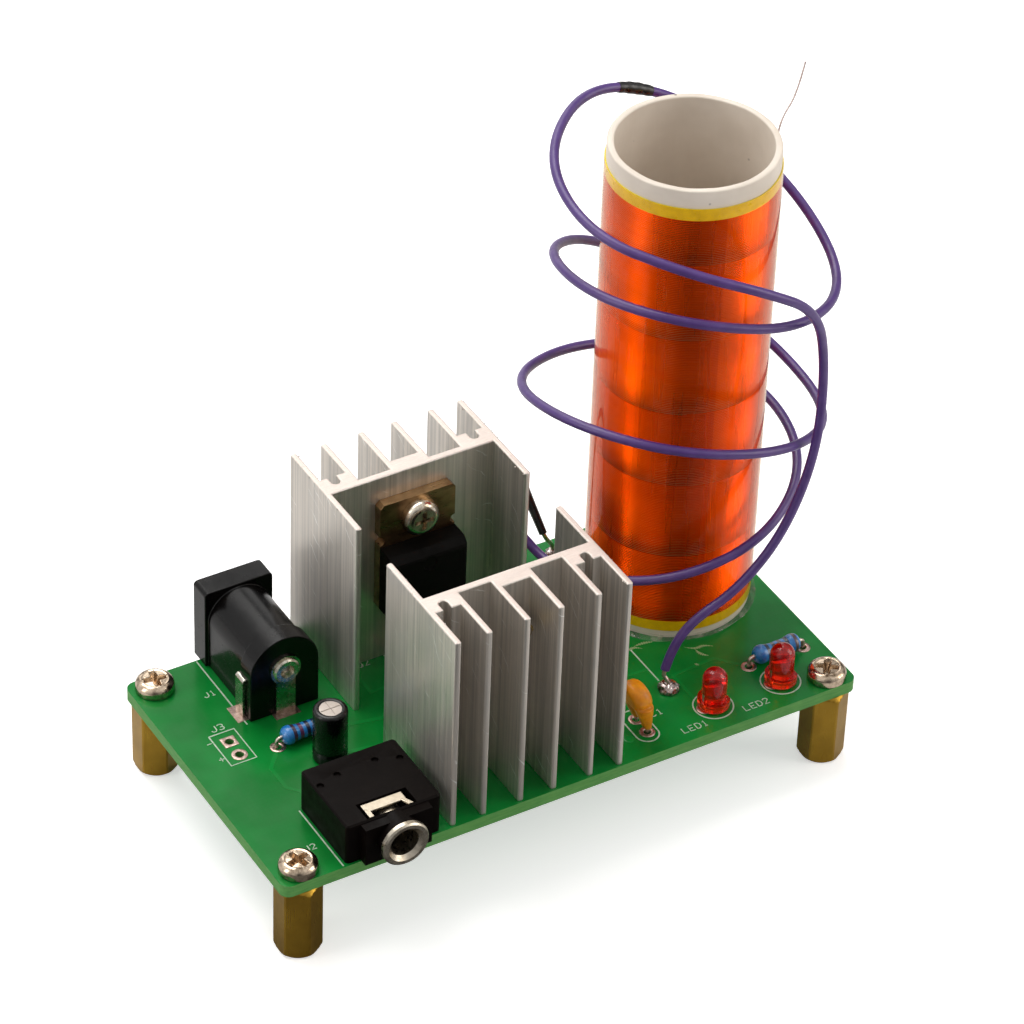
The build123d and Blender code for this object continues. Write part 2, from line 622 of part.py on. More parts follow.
def transistor_body(seat):
    """The moulded package in front of the tab, bevelled at its top, with an ejector mark."""
    bridge = transistor_bridge(seat, FIT)
    with BuildPart() as body:
        with BuildSketch(profile(seat, -TAB_WIDTH / 2)):
            with BuildLine():
                Polyline(
                    (-TAB_THICKNESS, PACKAGE_BOTTOM),
                    (-PACKAGE_DEPTH, PACKAGE_BOTTOM),
                    (-PACKAGE_DEPTH, PACKAGE_TOP - PACKAGE_BEVEL),
                    (PACKAGE_BEVEL - PACKAGE_DEPTH, PACKAGE_TOP),
                    (-TAB_THICKNESS, PACKAGE_TOP),
                    close=True,
                )
            make_face()
        extrude(amount=TAB_WIDTH)
        front = body.faces().sort_by(Axis(seat.origin, -seat.y_dir))[-1]
        chamfer(front.edges(), length=PACKAGE_EDGE)
        with BuildSketch(upright(seat, -PACKAGE_DEPTH)):
            with Locations((0, EJECTOR_HEIGHT)):
                Circle(EJECTOR_RADIUS)
        extrude(amount=-EJECTOR_DEPTH, mode=Mode.SUBTRACT)
        add(bridge.part, mode=Mode.SUBTRACT)
    return body


def transistor_screws():
    """The two screws that clamp the tabs to the sinks."""
    rear = pan_screw(upright(REAR_SEAT.offset(TAB_SCREW_HEIGHT), -TAB_THICKNESS))
    front = pan_screw(upright(FRONT_SEAT.offset(TAB_SCREW_HEIGHT), -TAB_THICKNESS))
    with BuildPart() as screws:
        add(rear.part)
        add(front.part)
    return screws


def arch(radius, height):
    """An arch on the current sketch: a block as wide as the round top that it carries."""
    Rectangle(2 * radius, height, align=(Align.CENTER, Align.MIN))
    with Locations((0, height)):
        Circle(radius)


def dc_jack_housing():
    """The power jack's moulding: square flange, arched barrel, rear block, bore and spring channel."""
    barrel_start = DC_FLANGE_DEPTH
    block_start = barrel_start + DC_BARREL_LENGTH
    back = block_start + DC_BLOCK_LENGTH
    tongue_top = SIDE_STRIP_TOP + FIT
    with BuildPart() as housing:
        with BuildSketch(upright(DC_JACK)) as flange:
            Rectangle(DC_FLANGE_WIDTH, DC_FLANGE_HEIGHT, align=(Align.CENTER, Align.MIN))
            fillet(flange.vertices().group_by(Axis.Y)[-1], radius=DC_FLANGE_CORNER)
        extrude(amount=-DC_FLANGE_DEPTH)
        with BuildSketch(upright(DC_JACK, barrel_start)):
            arch(DC_BARREL_RADIUS, DC_AXIS_HEIGHT)
        extrude(amount=-DC_BARREL_LENGTH)
        with BuildSketch(upright(DC_JACK, block_start)):
            arch(DC_BLOCK_RADIUS, DC_AXIS_HEIGHT)
        extrude(amount=-DC_BLOCK_LENGTH)
        with BuildSketch(upright(DC_JACK)):
            with Locations((0, DC_AXIS_HEIGHT)):
                Circle(DC_BORE_RADIUS)
        extrude(amount=-DC_BORE_DEPTH, mode=Mode.SUBTRACT)
        mouth = housing.edges().filter_by(GeomType.CIRCLE).sort_by(Axis(DC_JACK.origin, -DC_JACK.y_dir))[-1]
        chamfer(mouth, length=DC_MOUTH_CHAMFER)
        with BuildSketch(upright(DC_JACK)):
            with Locations((0, DC_AXIS_HEIGHT)):
                Circle(DC_PIN_ROOT_RADIUS + FIT)
        extrude(amount=-back, mode=Mode.SUBTRACT)
        with BuildSketch(upright(DC_JACK, DC_CHANNEL_START)):
            with Locations((0, DC_CHANNEL_FLOOR)):
                Rectangle(DC_CHANNEL_WIDTH, DC_AXIS_HEIGHT - DC_CHANNEL_FLOOR - DC_PIN_RADIUS,
                          align=(Align.CENTER, Align.MIN))
        extrude(amount=DC_CHANNEL_START - DC_BORE_DEPTH, mode=Mode.SUBTRACT)
        with BuildSketch(upright(DC_JACK, DC_CHANNEL_START)):
            with Locations((0, DC_CHANNEL_FLOOR)):
                Rectangle(DC_CHANNEL_WIDTH, LEAF_ROOT_HEIGHT - DC_CHANNEL_FLOOR,
                          align=(Align.CENTER, Align.MIN))
        extrude(amount=DC_CHANNEL_START - DC_CHANNEL_END, mode=Mode.SUBTRACT)
        with BuildSketch(DC_JACK):
            with Locations((0, SHELF_DEPTH)):
                Rectangle(LEAF_WIDTH + 2 * FIT, STRIP_THICKNESS + 2 * FIT)
        extrude(amount=DC_CHANNEL_FLOOR, mode=Mode.SUBTRACT)
        with BuildSketch(DC_JACK.offset(tongue_top - STRIP_THICKNESS - 2 * FIT)):
            with Locations((DC_BLOCK_RADIUS, SIDE_STRIP_START + SIDE_STRIP_WIDTH / 2)):
                Rectangle(2 * (SIDE_STRIP_TONGUE - SIDE_STRIP_GAP + FIT), SIDE_STRIP_WIDTH + 2 * FIT)
        extrude(amount=STRIP_THICKNESS + 2 * FIT, mode=Mode.SUBTRACT)
    return housing


def dc_jack_centre_pin():
    """The round centre pin: a thicker root in the moulding and a hollow rivet head behind the strip."""
    block_end = DC_FLANGE_DEPTH + DC_BARREL_LENGTH + DC_BLOCK_LENGTH
    head = block_end + STRIP_THICKNESS
    axis_plane = upright(DC_JACK.offset(DC_AXIS_HEIGHT))
    with BuildPart() as pin:
        with BuildSketch(section(axis_plane)):
            with BuildLine():
                Polyline(
                    (0, -DC_PIN_RECESS),
                    (DC_PIN_RADIUS - DC_PIN_NOSE, -DC_PIN_RECESS),
                    (DC_PIN_RADIUS, -DC_PIN_RECESS - DC_PIN_NOSE),
                    (DC_PIN_RADIUS, -DC_BORE_DEPTH),
                    (DC_PIN_ROOT_RADIUS, -DC_BORE_DEPTH),
                    (DC_PIN_ROOT_RADIUS, -head),
                    (RIVET_RADIUS, -head),
                    (RIVET_RADIUS, -head - RIVET_HEIGHT / 2),
                    (RIVET_RADIUS - RIVET_HEIGHT / 2, -head - RIVET_HEIGHT),
                    (RIVET_BORE_RADIUS, -head - RIVET_HEIGHT),
                    (RIVET_BORE_RADIUS - RIVET_HEIGHT / 2, RIVET_BORE_DEPTH - head - 2 * RIVET_HEIGHT),
                    (0, RIVET_BORE_DEPTH - head - 2 * RIVET_HEIGHT),
                    close=True,
                )
            make_face()
        revolve(axis=Axis(axis_plane.origin, axis_plane.z_dir))
    return pin


def dc_jack_rear_terminal():
    """The strip under the rivet head that runs down the jack's back and through the board."""
    back = DC_FLANGE_DEPTH + DC_BARREL_LENGTH + DC_BLOCK_LENGTH
    with BuildPart() as strip:
        with BuildSketch(upright(DC_JACK, back)):
            with Locations((0, LEAD_FOOT)):
                Rectangle(DC_STRIP_WIDTH, DC_AXIS_HEIGHT - LEAD_FOOT, align=(Align.CENTER, Align.MIN))
            with Locations((0, DC_AXIS_HEIGHT)):
                Circle(RIVET_RADIUS + STRIP_THICKNESS)
                Circle(DC_PIN_ROOT_RADIUS + FIT, mode=Mode.SUBTRACT)
        extrude(amount=-STRIP_THICKNESS)
    return strip


def dc_jack_sleeve_spring():
    """The leaf under the bore that bears on a plug's sleeve: up from its root to a crest, then down."""
    return strip(
        DC_JACK,
        [
            (0, LEAF_ROOT_DEPTH, LEAF_ROOT_HEIGHT),
            (0, LEAF_CREST_DEPTH, LEAF_CREST_HEIGHT),
            (0, LEAF_TIP_DEPTH, LEAF_TIP_HEIGHT),
        ],
        LEAF_BEND, LEAF_WIDTH, LEAF_THICKNESS, DC_JACK.x_dir,
    )


def dc_jack_sleeve_terminal():
    """The bracket behind the leaf's root: a shelf in the channel and a leg through the board."""
    return strip(
        DC_JACK,
        [
            (0, SHELF_START, SHELF_HEIGHT + STRIP_THICKNESS / 2),
            (0, SHELF_DEPTH, SHELF_HEIGHT + STRIP_THICKNESS / 2),
            (0, SHELF_DEPTH, LEAD_FOOT),
        ],
        STRIP_THICKNESS, LEAF_WIDTH, STRIP_THICKNESS, DC_JACK.x_dir,
    )


def dc_jack_side_contact():
    """The switch strip up the jack's side, bent in at the top through a slot in the moulding."""
    inside = DC_BLOCK_RADIUS + SIDE_STRIP_GAP - SIDE_STRIP_TONGUE
    outside = DC_BLOCK_RADIUS + SIDE_STRIP_GAP + STRIP_THICKNESS / 2
    middle = SIDE_STRIP_START + SIDE_STRIP_WIDTH / 2
    tongue = SIDE_STRIP_TOP - STRIP_THICKNESS / 2
    return strip(
        DC_JACK,
        [
            (inside, middle, tongue),
            (outside, middle, tongue),
            (outside, middle, LEAD_FOOT),
        ],
        STRIP_THICKNESS, SIDE_STRIP_WIDTH, STRIP_THICKNESS, DC_JACK.y_dir,
    )


def audio_jack_housing():
    """The audio jack's moulding: an open-bottomed box, nose and boss, a plug tunnel and a roof window."""
    start = AJ_COLLAR_LENGTH + AJ_BOSS_LENGTH + AJ_NOSE_LENGTH
    with BuildPart() as housing:
        with BuildSketch(AUDIO_JACK.offset(AJ_FLOOR)) as plan:
            with Locations((0, start)):
                Rectangle(AJ_WIDTH, AJ_LENGTH, align=(Align.CENTER, Align.MIN))
            fillet(plan.vertices(), radius=AJ_CORNER)
        extrude(amount=AJ_HEIGHT - AJ_FLOOR)
        chamfer(housing.faces().sort_by(Axis.Z)[-1].edges(), length=AJ_EDGE)
        with BuildSketch(AUDIO_JACK):
            with Locations((0, AJ_COLLAR_LENGTH + AJ_BOSS_LENGTH)):
                Rectangle(AJ_NOSE_WIDTH, AJ_NOSE_LENGTH + AJ_WALL, align=(Align.CENTER, Align.MIN))
        extrude(amount=AJ_HEIGHT - AJ_NOSE_STEP)
        with BuildSketch(upright(AUDIO_JACK, AJ_COLLAR_LENGTH)):
            with Locations((0, AJ_AXIS_HEIGHT)):
                Circle(AJ_BOSS_RADIUS)
        extrude(amount=AJ_COLLAR_LENGTH - start - AJ_WALL)
        with BuildSketch(AUDIO_JACK):
            with Locations((0, AJ_CAVITY_START)):
                Rectangle(AJ_CAVITY_WIDTH, start + AJ_LENGTH - AJ_WALL - AJ_CAVITY_START,
                          align=(Align.CENTER, Align.MIN))
        extrude(amount=AJ_HEIGHT - AJ_ROOF, mode=Mode.SUBTRACT)
        with BuildSketch(upright(AUDIO_JACK, AJ_COLLAR_LENGTH)):
            with Locations((0, AJ_AXIS_HEIGHT)):
                Circle(AJ_BARREL_RADIUS + FIT)
        extrude(amount=-AJ_BARREL_LENGTH, mode=Mode.SUBTRACT)
        with BuildSketch(upright(AUDIO_JACK, start)):
            with Locations((0, AJ_AXIS_HEIGHT)):
                Circle(AJ_BORE_RADIUS + AJ_REAR_CLEARANCE)
        extrude(amount=-AJ_LENGTH, mode=Mode.SUBTRACT)
        with BuildSketch(AUDIO_JACK.offset(AJ_HEIGHT)):
            with Locations(((WINDOW_LEFT + WINDOW_RIGHT) / 2, (WINDOW_START + WINDOW_END) / 2)):
                Rectangle(WINDOW_RIGHT - WINDOW_LEFT, WINDOW_END - WINDOW_START)
        extrude(amount=AJ_AXIS_HEIGHT - AJ_HEIGHT, mode=Mode.SUBTRACT)
        with BuildSketch(AUDIO_JACK.offset(AJ_HEIGHT)):
            with Locations(*AJ_DIMPLES):
                Circle(AJ_DIMPLE_RADIUS)
        extrude(amount=-AJ_DIMPLE_DEPTH, mode=Mode.SUBTRACT)
    return housing


def audio_jack_base():
    """The plate that closes the moulding from below, slotted for the terminals."""
    start = AJ_COLLAR_LENGTH + AJ_BOSS_LENGTH + AJ_NOSE_LENGTH
    with BuildPart() as base:
        with BuildSketch(AUDIO_JACK) as plan:
            with Locations((0, start)):
                Rectangle(AJ_WIDTH, AJ_LENGTH, align=(Align.CENTER, Align.MIN))
            fillet(plan.vertices(), radius=AJ_CORNER)
            with Locations((0, start)):
                Rectangle(AJ_NOSE_WIDTH + 2 * FIT, AJ_WALL + FIT, align=(Align.CENTER, Align.MIN),
                          mode=Mode.SUBTRACT)
            with Locations(*audio_terminal_places()):
                Rectangle(CONTACT_THICKNESS + 2 * FIT, TERMINAL_WIDTH + 2 * FIT, mode=Mode.SUBTRACT)
        extrude(amount=AJ_FLOOR)
    return base


def audio_jack_collar():
    """The plated bush: a chamfered ring before the boss and a barrel that reaches into the box."""
    mouth = upright(AUDIO_JACK.offset(AJ_AXIS_HEIGHT))
    with BuildPart() as collar:
        with BuildSketch(section(mouth)):
            with BuildLine():
                Polyline(
                    (AJ_BORE_RADIUS + AJ_MOUTH_CHAMFER, 0),
                    (AJ_COLLAR_RADIUS - BORE_CHAMFER, 0),
                    (AJ_COLLAR_RADIUS, -BORE_CHAMFER),
                    (AJ_COLLAR_RADIUS, -AJ_COLLAR_LENGTH),
                    (AJ_BARREL_RADIUS, -AJ_COLLAR_LENGTH),
                    (AJ_BARREL_RADIUS, -AJ_COLLAR_LENGTH - AJ_BARREL_LENGTH),
                    (AJ_BORE_RADIUS, -AJ_COLLAR_LENGTH - AJ_BARREL_LENGTH),
                    (AJ_BORE_RADIUS, -AJ_MOUTH_CHAMFER),
                    close=True,
                )
            make_face()
        revolve(axis=Axis(mouth.origin, mouth.z_dir))
    return collar


def audio_jack_clip():
    """The sprung ground clip in the window: a bar across the plug's path with two legs to the front."""
    with BuildPart() as clip:
        with BuildSketch(AUDIO_JACK.offset(CLIP_HEIGHT)):
            with Locations((CLIP_LEFT, CLIP_REAR)):
                Rectangle(CLIP_RIGHT - CLIP_LEFT, CLIP_BAR, align=(Align.MIN, Align.MAX))
            with Locations((CLIP_LEFT, CLIP_LEG_START)):
                Rectangle(CLIP_LEG_WIDTH, CLIP_REAR - CLIP_LEG_START, align=(Align.MIN, Align.MIN))
            with BuildLine():
                Polyline(
                    (CLIP_RIGHT - CLIP_LEG_WIDTH, CLIP_REAR - CLIP_BAR),
                    (CLIP_RIGHT - CLIP_LEG_WIDTH + CLIP_SPLAY, CLIP_LEG_START),
                    (CLIP_RIGHT + CLIP_SPLAY, CLIP_LEG_START),
                    (CLIP_RIGHT, CLIP_REAR - CLIP_BAR),
                    close=True,
                )
            make_face()
        extrude(amount=CLIP_THICKNESS)
    return clip


def audio_contact(side, start, crest, end):
    """A contact strip at the plug tunnel's side with its leg through the board."""
    root = side * CONTACT_ROOT_X
    with BuildPart() as contact:
        with BuildSketch(AUDIO_JACK.offset(CONTACT_BOTTOM)):
            with BuildLine():
                Polyline(
                    (root + side * CONTACT_THICKNESS / 2, start),
                    (root - side * CONTACT_THICKNESS / 2, start),
                    (root - side * CONTACT_THICKNESS / 2, start + TERMINAL_WIDTH),
                    (side * CONTACT_CREST_X, crest),
                    (side * (CONTACT_CREST_X + CONTACT_TIP), end),
                    (side * (CONTACT_CREST_X + CONTACT_TIP + CONTACT_THICKNESS), end),
                    (side * (CONTACT_CREST_X + CONTACT_THICKNESS), crest),
                    (root + side * CONTACT_THICKNESS / 2, start + TERMINAL_WIDTH),
                    close=True,
                )
            make_face()
        extrude(amount=CONTACT_HEIGHT)
        with BuildSketch(AUDIO_JACK.offset(CONTACT_BOTTOM)):
            with Locations((root, start + TERMINAL_WIDTH / 2)):
                Rectangle(CONTACT_THICKNESS, TERMINAL_WIDTH)
        extrude(amount=LEAD_FOOT - CONTACT_BOTTOM)
    return contact


def audio_jack_tip_contact():
    """The contact for the plug's tip, far in the box."""
    return audio_contact(-1, TIP_CONTACT_START, TIP_CONTACT_CREST, TIP_CONTACT_END)


def audio_jack_ring_contact():
    """The contact for the plug's ring, on the other side."""
    end = RING_CONTACT_CREST + TIP_CONTACT_END - TIP_CONTACT_CREST
    return audio_contact(1, RING_CONTACT_START, RING_CONTACT_CREST, end)


def audio_jack_ground_terminal():
    """The strip that leads from the bush's barrel to the board."""
    middle = AJ_CAVITY_START + TERMINAL_WIDTH / 2 + FIT
    return strip(
        AUDIO_JACK,
        [
            (AJ_BARREL_RADIUS + FIT, middle, AJ_AXIS_HEIGHT),
            (CONTACT_ROOT_X, middle, AJ_AXIS_HEIGHT),
            (CONTACT_ROOT_X, middle, LEAD_FOOT),
        ],
        CONTACT_THICKNESS, TERMINAL_WIDTH, CONTACT_THICKNESS, AUDIO_JACK.y_dir,
    )


def filter_capacitor_can():
    """The aluminium can: beaded near its foot, with a cross-shaped vent on its top."""
    seat = ELCO.offset(ELCO_STANDING)
    top = ELCO_HEIGHT - ELCO_STANDING
    bead = ELCO_BEAD_HEIGHT
    with BuildPart() as can:
        with BuildSketch(section(seat)):
            with BuildLine():
                Polyline((ELCO_CAN_RADIUS - ELCO_BEAD_DEPTH, 0), (ELCO_CAN_RADIUS, ELCO_BEAD_DEPTH),
                         (ELCO_CAN_RADIUS, bead - ELCO_BEAD_DEPTH))
                ThreePointArc((ELCO_CAN_RADIUS, bead - ELCO_BEAD_DEPTH),
                              (ELCO_CAN_RADIUS - ELCO_BEAD_DEPTH, bead),
                              (ELCO_CAN_RADIUS, bead + ELCO_BEAD_DEPTH))
                Polyline((ELCO_CAN_RADIUS, bead + ELCO_BEAD_DEPTH), (ELCO_CAN_RADIUS, top - ELCO_BEAD_DEPTH),
                         (ELCO_CAN_RADIUS - ELCO_BEAD_DEPTH, top), (0, top), (0, ELCO_BUNG_HEIGHT),
                         (ELCO_CAN_RADIUS - ELCO_CAN_WALL - ELCO_BEAD_DEPTH, ELCO_BUNG_HEIGHT),
                         (ELCO_CAN_RADIUS - ELCO_CAN_WALL - ELCO_BEAD_DEPTH, 0),
                         (ELCO_CAN_RADIUS - ELCO_BEAD_DEPTH, 0))
            make_face()
        revolve(axis=Axis(seat.origin, seat.z_dir))
        with BuildSketch(seat.offset(top)):
            Rectangle(VENT_LENGTH, VENT_WIDTH)
            Rectangle(VENT_WIDTH, VENT_LENGTH)
        extrude(amount=-VENT_DEPTH, mode=Mode.SUBTRACT)
    return can


def filter_capacitor_sleeve():
    """The shrunk sleeve round the can, folded over the top's rim."""
    seat = ELCO.offset(ELCO_STANDING)
    top = ELCO_HEIGHT - ELCO_STANDING
    inside = ELCO_CAN_RADIUS + FIT
    with BuildPart() as sleeve:
        with BuildSketch(section(seat)):
            with BuildLine():
                Polyline(
                    (inside, 0),
                    (ELCO_RADIUS, 0),
                    (ELCO_RADIUS, top),
                    (ELCO_RADIUS - ELCO_SLEEVE_TOP, top + ELCO_SLEEVE_TOP),
                    (ELCO_RADIUS - ELCO_RIM, top + ELCO_SLEEVE_TOP),
                    (ELCO_RADIUS - ELCO_RIM, top + FIT),
                    (inside, top + FIT),
                    close=True,
                )
            make_face()
        revolve(axis=Axis(seat.origin, seat.z_dir))
    return sleeve


def filter_capacitor_bung():
    """The rubber bung that closes the can round its leads."""
    seat = ELCO.offset(ELCO_STANDING)
    with BuildPart() as bung:
        with BuildSketch(seat):
            Circle(ELCO_CAN_RADIUS - ELCO_CAN_WALL - ELCO_BEAD_DEPTH - FIT)
            with GridLocations(ELCO_PITCH, 1, 2, 1):
                Circle(LEAD_RADIUS + FIT, mode=Mode.SUBTRACT)
        extrude(amount=ELCO_BUNG_HEIGHT)
    return bung


def filter_capacitor_leads():
    """The capacitor's two straight leads."""
    with BuildPart() as leads:
        with BuildSketch(ELCO.offset(LEAD_FOOT)):
            with GridLocations(ELCO_PITCH, 1, 2, 1):
                Circle(LEAD_RADIUS)
        extrude(amount=ELCO_STANDING + ELCO_BUNG_HEIGHT - FIT - LEAD_FOOT)
    return leads


def resistor_body(frame):
    """A lacquered body with its two fuller ends, lying along the frame's x."""
    axis_frame = frame.offset(RESISTOR_HEIGHT)
    half = RESISTOR_LENGTH / 2
    with BuildPart() as body:
        with BuildSketch(upright(axis_frame)):
            with BuildLine():
                Spline(
                    (-half, RESISTOR_RADIUS / 2),
                    (-half + RESISTOR_CAP / 2, RESISTOR_RADIUS),
                    (-half + RESISTOR_CAP + RESISTOR_CAP / 2, RESISTOR_WAIST),
                    (0, RESISTOR_WAIST),
                    (half - RESISTOR_CAP - RESISTOR_CAP / 2, RESISTOR_WAIST),
                    (half - RESISTOR_CAP / 2, RESISTOR_RADIUS),
                    (half, RESISTOR_RADIUS / 2),
                )
                Polyline((half, RESISTOR_RADIUS / 2), (half, 0), (-half, 0), (-half, RESISTOR_RADIUS / 2))
            make_face()
        revolve(axis=Axis(axis_frame.origin, axis_frame.x_dir))
    return body


def resistor_leads(frame):
    """The two leads, straight out of the body's ends and bent down through the board."""
    with BuildPart() as leads:
        for side in (-1, 1):
            lead = rod(
                frame,
                [
                    (side * RESISTOR_LENGTH / 2, 0, RESISTOR_HEIGHT),
                    (side * RESISTOR_PITCH / 2, 0, RESISTOR_HEIGHT),
                    (side * RESISTOR_PITCH / 2, 0, LEAD_FOOT),
                ],
                LEAD_BEND, LEAD_RADIUS,
            )
            add(lead.part)
    return leads


def led_posts(frame, grow):
    """The leadframe's two posts, one with a wide anvil, grown by a clearance for the cut in the lens."""
    with BuildPart() as posts:
        with BuildSketch(frame.offset(LEAD_FOOT)):
            with GridLocations(LED_PITCH, 1, 2, 1):
                Rectangle(LED_POST + 2 * grow, LED_POST + 2 * grow)
        extrude(amount=LED_ANVIL_START - LEAD_FOOT)
        with BuildSketch(frame.offset(LED_ANVIL_START - grow)):
            with Locations((LED_ANVIL_WIDTH - LED_PITCH / 2 - LED_POST / 2, 0)):
                Rectangle(LED_ANVIL_WIDTH + LED_POST + 2 * grow, LED_POST + 2 * grow,
                          align=(Align.CENTER, Align.CENTER))
            with Locations((LED_PITCH / 2 - LED_POST / 2, 0)):
                Rectangle(2 * LED_POST + 2 * grow, LED_POST + 2 * grow)
        extrude(amount=LED_POST_TOP - LED_ANVIL_START + 2 * grow)
    return posts


def led_leadframe(frame):
    """The two posts that stand in an LED's lens and run down through the board."""
    return led_posts(frame, 0)


def led_lens(frame):
    """A domed lens on a flange with a flat, moulded round its leadframe."""
    seat = frame.offset(LED_STANDING)
    posts = led_posts(frame, FIT)
    with BuildPart() as lens:
        with BuildSketch(section(seat)):
            with BuildLine():
                Polyline(
                    (0, LED_HEIGHT),
                    (0, 0),
                    (LED_FLANGE_RADIUS, 0),
                    (LED_FLANGE_RADIUS, LED_FLANGE_HEIGHT),
                    (LED_BODY_RADIUS, LED_FLANGE_HEIGHT),
                    (LED_BODY_RADIUS, LED_HEIGHT - LED_BODY_RADIUS),
                )
                RadiusArc((LED_BODY_RADIUS, LED_HEIGHT - LED_BODY_RADIUS), (0, LED_HEIGHT), -LED_BODY_RADIUS)
            make_face()
        revolve(axis=Axis(seat.origin, seat.z_dir))
        with BuildSketch(seat):
            with Locations((LED_FLAT, 0)):
                Rectangle(LED_FLANGE_RADIUS, 2 * LED_FLANGE_RADIUS, align=(Align.MIN, Align.CENTER))
        extrude(amount=LED_FLANGE_HEIGHT, mode=Mode.SUBTRACT)
        add(posts.part, mode=Mode.SUBTRACT)
    return lens


def ceramic_capacitor_body():
    """The dipped disc with its coated legs."""
    with BuildPart() as body:
        with BuildSketch(upright(DIPPED, -DIPPED_THICKNESS / 2)):
            with Locations((0, DIPPED_CENTRE)):
                Circle(DIPPED_RADIUS)
        extrude(amount=-DIPPED_THICKNESS)
        fillet(body.edges(), radius=DIPPED_EDGE)
        with BuildSketch(DIPPED.offset(DIPPED_LEG_BOTTOM)):
            with GridLocations(DIPPED_PITCH, 1, 2, 1):
                Circle(DIPPED_LEG_RADIUS)
        extrude(amount=DIPPED_CENTRE - DIPPED_RADIUS / 2 - DIPPED_LEG_BOTTOM, taper=-DIPPED_LEG_TAPER)
        with BuildSketch(DIPPED.offset(DIPPED_LEG_BOTTOM)):
            with GridLocations(DIPPED_PITCH, 1, 2, 1):
                Circle(LEAD_RADIUS + FIT)
        extrude(amount=DIPPED_EDGE + FIT, mode=Mode.SUBTRACT)
    return body


def ceramic_capacitor_leads():
    """The disc's two leads below their coating."""
    with BuildPart() as leads:
        with BuildSketch(DIPPED.offset(LEAD_FOOT)):
            with GridLocations(DIPPED_PITCH, 1, 2, 1):
                Circle(LEAD_RADIUS)
        extrude(amount=DIPPED_LEG_BOTTOM + DIPPED_EDGE - LEAD_FOOT)
    return leads


def former_tube():
    """The plastic pipe that carries the winding."""
    with BuildPart() as tube:
        with BuildSketch(FORMER):
            Circle(FORMER_RADIUS)
            Circle(FORMER_RADIUS - FORMER_WALL, mode=Mode.SUBTRACT)
        extrude(amount=FORMER_HEIGHT)
        chamfer(tube.faces().sort_by(Axis.Z)[-1].edges(), length=FORMER_RIM_CHAMFER)
    return tube


def ring(frame, inside, thickness, bottom, top):
    """A plain ring round a frame's axis between two heights."""
    with BuildPart() as band:
        with BuildSketch(frame.offset(bottom)):
            Circle(inside + thickness)
            Circle(inside, mode=Mode.SUBTRACT)
        extrude(amount=top - bottom)
    return band


def secondary_winding():
    """The single layer of many hundred fine turns, as one sleeve."""
    top = FORMER_HEIGHT - TOP_BARE - TOP_BAND
    return ring(FORMER, FORMER_RADIUS + WINDING_GAP, WINDING_THICKNESS, WINDING_START, top)


def lower_end_band():
    """The tape band under the winding."""
    return ring(FORMER, FORMER_RADIUS + WINDING_GAP, WINDING_THICKNESS, BAND_START, WINDING_START)


def upper_end_band():
    """The tape band above the winding."""
    top = FORMER_HEIGHT - TOP_BARE
    return ring(FORMER, FORMER_RADIUS + WINDING_GAP, WINDING_THICKNESS, top - TOP_BAND, top)


def clear_film():
    """The clear film wrapped over the winding and both bands."""
    inside = FORMER_RADIUS + 2 * WINDING_GAP + WINDING_THICKNESS
    return ring(FORMER, inside, FILM_THICKNESS, BAND_START, FORMER_HEIGHT - TOP_BARE)


def base_glue():
    """The uneven fillet of glue round the former's foot."""
    inside = FORMER_RADIUS + WINDING_GAP
    turn = FULL_TURN / len(GLUE_REACHES)
    edge = [Vector(inside + reach, 0).rotate(Axis.Z, turn * step) for step, reach in enumerate(GLUE_REACHES)]
    with BuildPart() as glue:
        with BuildSketch(FORMER):
            with BuildLine():
                Spline(*edge, periodic=True)
            make_face()
            Circle(inside, mode=Mode.SUBTRACT)
        extrude(amount=GLUE_HEIGHT)
    return glue


def beside_pipe(points, side):
    """A fine lead's corners from the former's axis, to its right or its left."""
    return [(side * (FORMER_RADIUS + out), along, height) for out, along, height in points]


def secondary_upper_lead():
    """The fine lead that leaves the winding's top and stands up free beside the rim."""
    points = beside_pipe(UPPER_LEAD, 1)
    return rod(FORMER.offset(FORMER_HEIGHT), points, corner_radii(points), FINE_LEAD_RADIUS)


def secondary_lower_lead():
    """The fine lead from the winding's foot to its hole in the board."""
    points = beside_pipe(LOWER_LEAD, -1)
    return rod(FORMER, points, corner_radii(points), FINE_LEAD_RADIUS)


def corner_radii(points):
    """The bend radius at each inner point: its arc starts at the set share of the shorter run."""
    radii = []
    for before, corner, after in zip(points, points[1:], points[2:]):
        back = Vector(*before) - Vector(*corner)
        ahead = Vector(*after) - Vector(*corner)
        half_turn = (FULL_TURN / 2 - back.get_angle(ahead)) / 2
        radii.append(RUN_SHARE * min(back.length, ahead.length) / tan(radians(half_turn)))
    return radii


def primary_wire():
    """The insulated primary: one loose wire from its pad up and round the former in three turns."""
    return rod(FORMER, WIRE_ROUTE, corner_radii(WIRE_ROUTE), WIRE_RADIUS)


def wire_line():
    """The centre line of the primary wire."""
    places = [FORMER.from_local_coords(point) for point in WIRE_ROUTE]
    with BuildLine() as route:
        FilletPolyline(*places, radius=corner_radii(WIRE_ROUTE))
    return Wire(route.line.edges())


def splice_sleeve():
    """The black sleeve over the splice at the top of the first turn, along the wire's own line."""
    line = wire_line()
    whole = line.length
    part_line = line.trim(SPLICE_START / whole, (SPLICE_START + SPLICE_LENGTH) / whole)
    inside = WIRE_RADIUS + SLEEVE_GAP
    with BuildPart() as sleeve:
        with BuildLine():
            add(part_line)
        with BuildSketch(Plane(origin=part_line @ 0, z_dir=part_line % 0)):
            Circle(inside + SLEEVE_WALL)
            Circle(inside, mode=Mode.SUBTRACT)
        sweep()
    return sleeve


